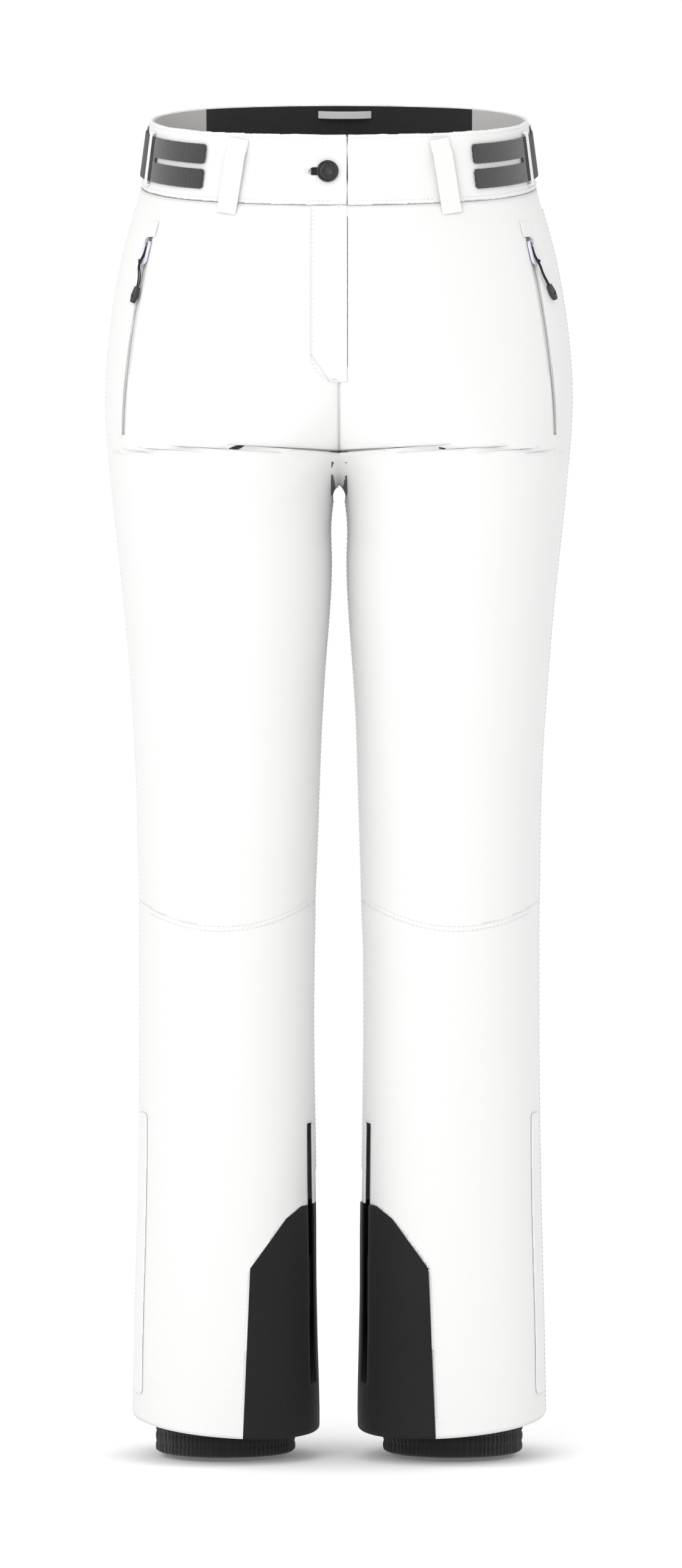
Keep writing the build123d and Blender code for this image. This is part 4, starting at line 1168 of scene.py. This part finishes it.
def buildCord(side):
    curve = bpy.data.curves.new(f"pullCord_{side}", "CURVE")
    curve.dimensions = "3D"
    spline = curve.splines.new("NURBS")
    route = cordRoutes[side]
    spline.points.add(len(route) - 1)
    for point, place in zip(spline.points, route):
        point.co = (*place, 1.0)
    spline.order_u = 3
    spline.use_endpoint_u = True
    spline.resolution_u = 10
    curve.bevel_depth = cord["diameter"] / 2
    curve.bevel_resolution = 4
    curve.use_fill_caps = True
    obj = bpy.data.objects.new(curve.name, curve)
    bpy.context.scene.collection.objects.link(obj)
    curve.materials.append(mats["cordBlack"])
    settle(obj, f"pocket_pull_{side}", [f"pocket_cord_{side}"])
    return obj


def buildKnot(side):
    # a small overhand knot where both strands pass the ring's lower bar
    route = cordRoutes[side]
    a, b = Vector(route[cord["knotAt"]]), Vector(route[len(route) - 1 - cord["knotAt"]])
    centre = (a + b) / 2
    out = skinPoint(centre)
    centre += out * cord["knotLift"]
    level = out.cross(Vector((0, 0, 1))).normalized()
    up = level.cross(out).normalized()
    bm = bmesh.new()
    count, around = cord["knotSteps"], cord["knotAround"]
    scale = cord["knotRadius"] / 2.0
    line = []
    for k in range(count):
        t = 2 * pi * k / count
        x = sin(t) + 2 * sin(2 * t)
        y = cos(t) - 2 * cos(2 * t)
        z = -sin(3 * t)
        line.append(centre + (level * x + up * y) * scale + out * (z * scale * cord["knotDepth"]))
    rings = []
    for k, p in enumerate(line):
        along = (line[(k + 1) % count] - line[k - 1]).normalized()
        u = along.cross(out).normalized()
        v = along.cross(u)
        turns = [2 * pi * n / around for n in range(around)]
        rings.append([bm.verts.new(p + (u * cos(t) + v * sin(t)) * cord["knotThread"])
                      for t in turns])
    for k in range(count):
        p, q = rings[k], rings[(k + 1) % count]
        for n in range(around):
            bm.faces.new((p[n], p[(n + 1) % around], q[(n + 1) % around], q[n]))
    bmesh.ops.recalc_face_normals(bm, faces=bm.faces[:])
    knot = newObject(f"pullKnot_{side}", bm, "cordBlack")
    settle(knot, f"pocket_pull_{side}")


for side in sides:
    softPiece(f"pocket_puller_{side}", "pullPlastic", mouldVoxel)
    toggle = softPiece(f"pocket_toggle_{side}", "toggleGrey", mouldVoxel)
    buildCord(side)
    buildKnot(side)
print("pullers and cords hung")


# ---- finishes for the frame's own hard pieces and zips
keptFinishes = {"zip_tape": "tapeWhite", "slider": "sliderMetal", "button_tack": "tackSteel"}
for name, obj in nodes.items():
    for key, mat in keptFinishes.items():
        if key in name and not obj.hide_render:
            obj.data.materials.clear()
            obj.data.materials.append(mats[mat])


# ---- studio: pale floor, even light, camera level with the knees' height
camera = dict(place=(0.00145, -4.9, -0.529), fov=14.51, clip=(0.1, 60.0))
studio = dict(floorGap=0.004, floorSize=40.0, floorTone=0.93, floorGlow=0.12, world=1.0,
              keyPower=26.0, keySize=(1.6, 2.2), keyPlace=(-0.9, -2.6, 0.5), keyAim=(0, 0, -0.5))


def buildStudio():
    scene = bpy.context.scene
    data = bpy.data.cameras.new("camera")
    data.sensor_fit = "AUTO"
    data.sensor_width = 36.0
    data.lens = 18.0 / tan(radians(camera["fov"] / 2))
    data.clip_start, data.clip_end = camera["clip"]
    obj = bpy.data.objects.new("camera", data)
    obj.location = camera["place"]
    obj.rotation_euler = (pi / 2, 0, 0)
    scene.collection.objects.link(obj)
    scene.camera = obj
    floorMat, tree, shader = nodeTree("paleFloor")
    shader.inputs["Base Color"].default_value = grey(studio["floorTone"])
    shader.inputs["Roughness"].default_value = 1.0
    shader.inputs["Specular IOR Level"].default_value = 0.0
    shader.inputs["Emission Color"].default_value = (1, 1, 1, 1)
    shader.inputs["Emission Strength"].default_value = studio["floorGlow"]
    mats["paleFloor"] = floorMat
    bm = bmesh.new()
    half = studio["floorSize"] / 2
    z = cadBox[0].z - studio["floorGap"]
    bm.faces.new([bm.verts.new((x, y, z)) for x, y in
                  ((-half, -half), (half, -half), (half, half), (-half, half))])
    floor = newObject("floor", bm, "paleFloor", smooth=False)
    world = bpy.data.worlds.new("studio")
    scene.world = world
    world.use_nodes = True
    background = world.node_tree.nodes["Background"]
    background.inputs["Color"].default_value = (1, 1, 1, 1)
    background.inputs["Strength"].default_value = studio["world"]
    light = bpy.data.lights.new("key", "AREA")
    light.shape = "RECTANGLE"
    light.size, light.size_y = studio["keySize"]
    light.energy = studio["keyPower"]
    lamp = bpy.data.objects.new("key", light)
    lamp.location = studio["keyPlace"]
    aim = Vector(studio["keyAim"]) - lamp.location
    lamp.rotation_euler = aim.to_track_quat("-Z", "Y").to_euler()
    scene.collection.objects.link(lamp)
    scene.view_settings.view_transform = "Standard"
    scene.view_settings.look = "None"


buildStudio()
print("studio ready")
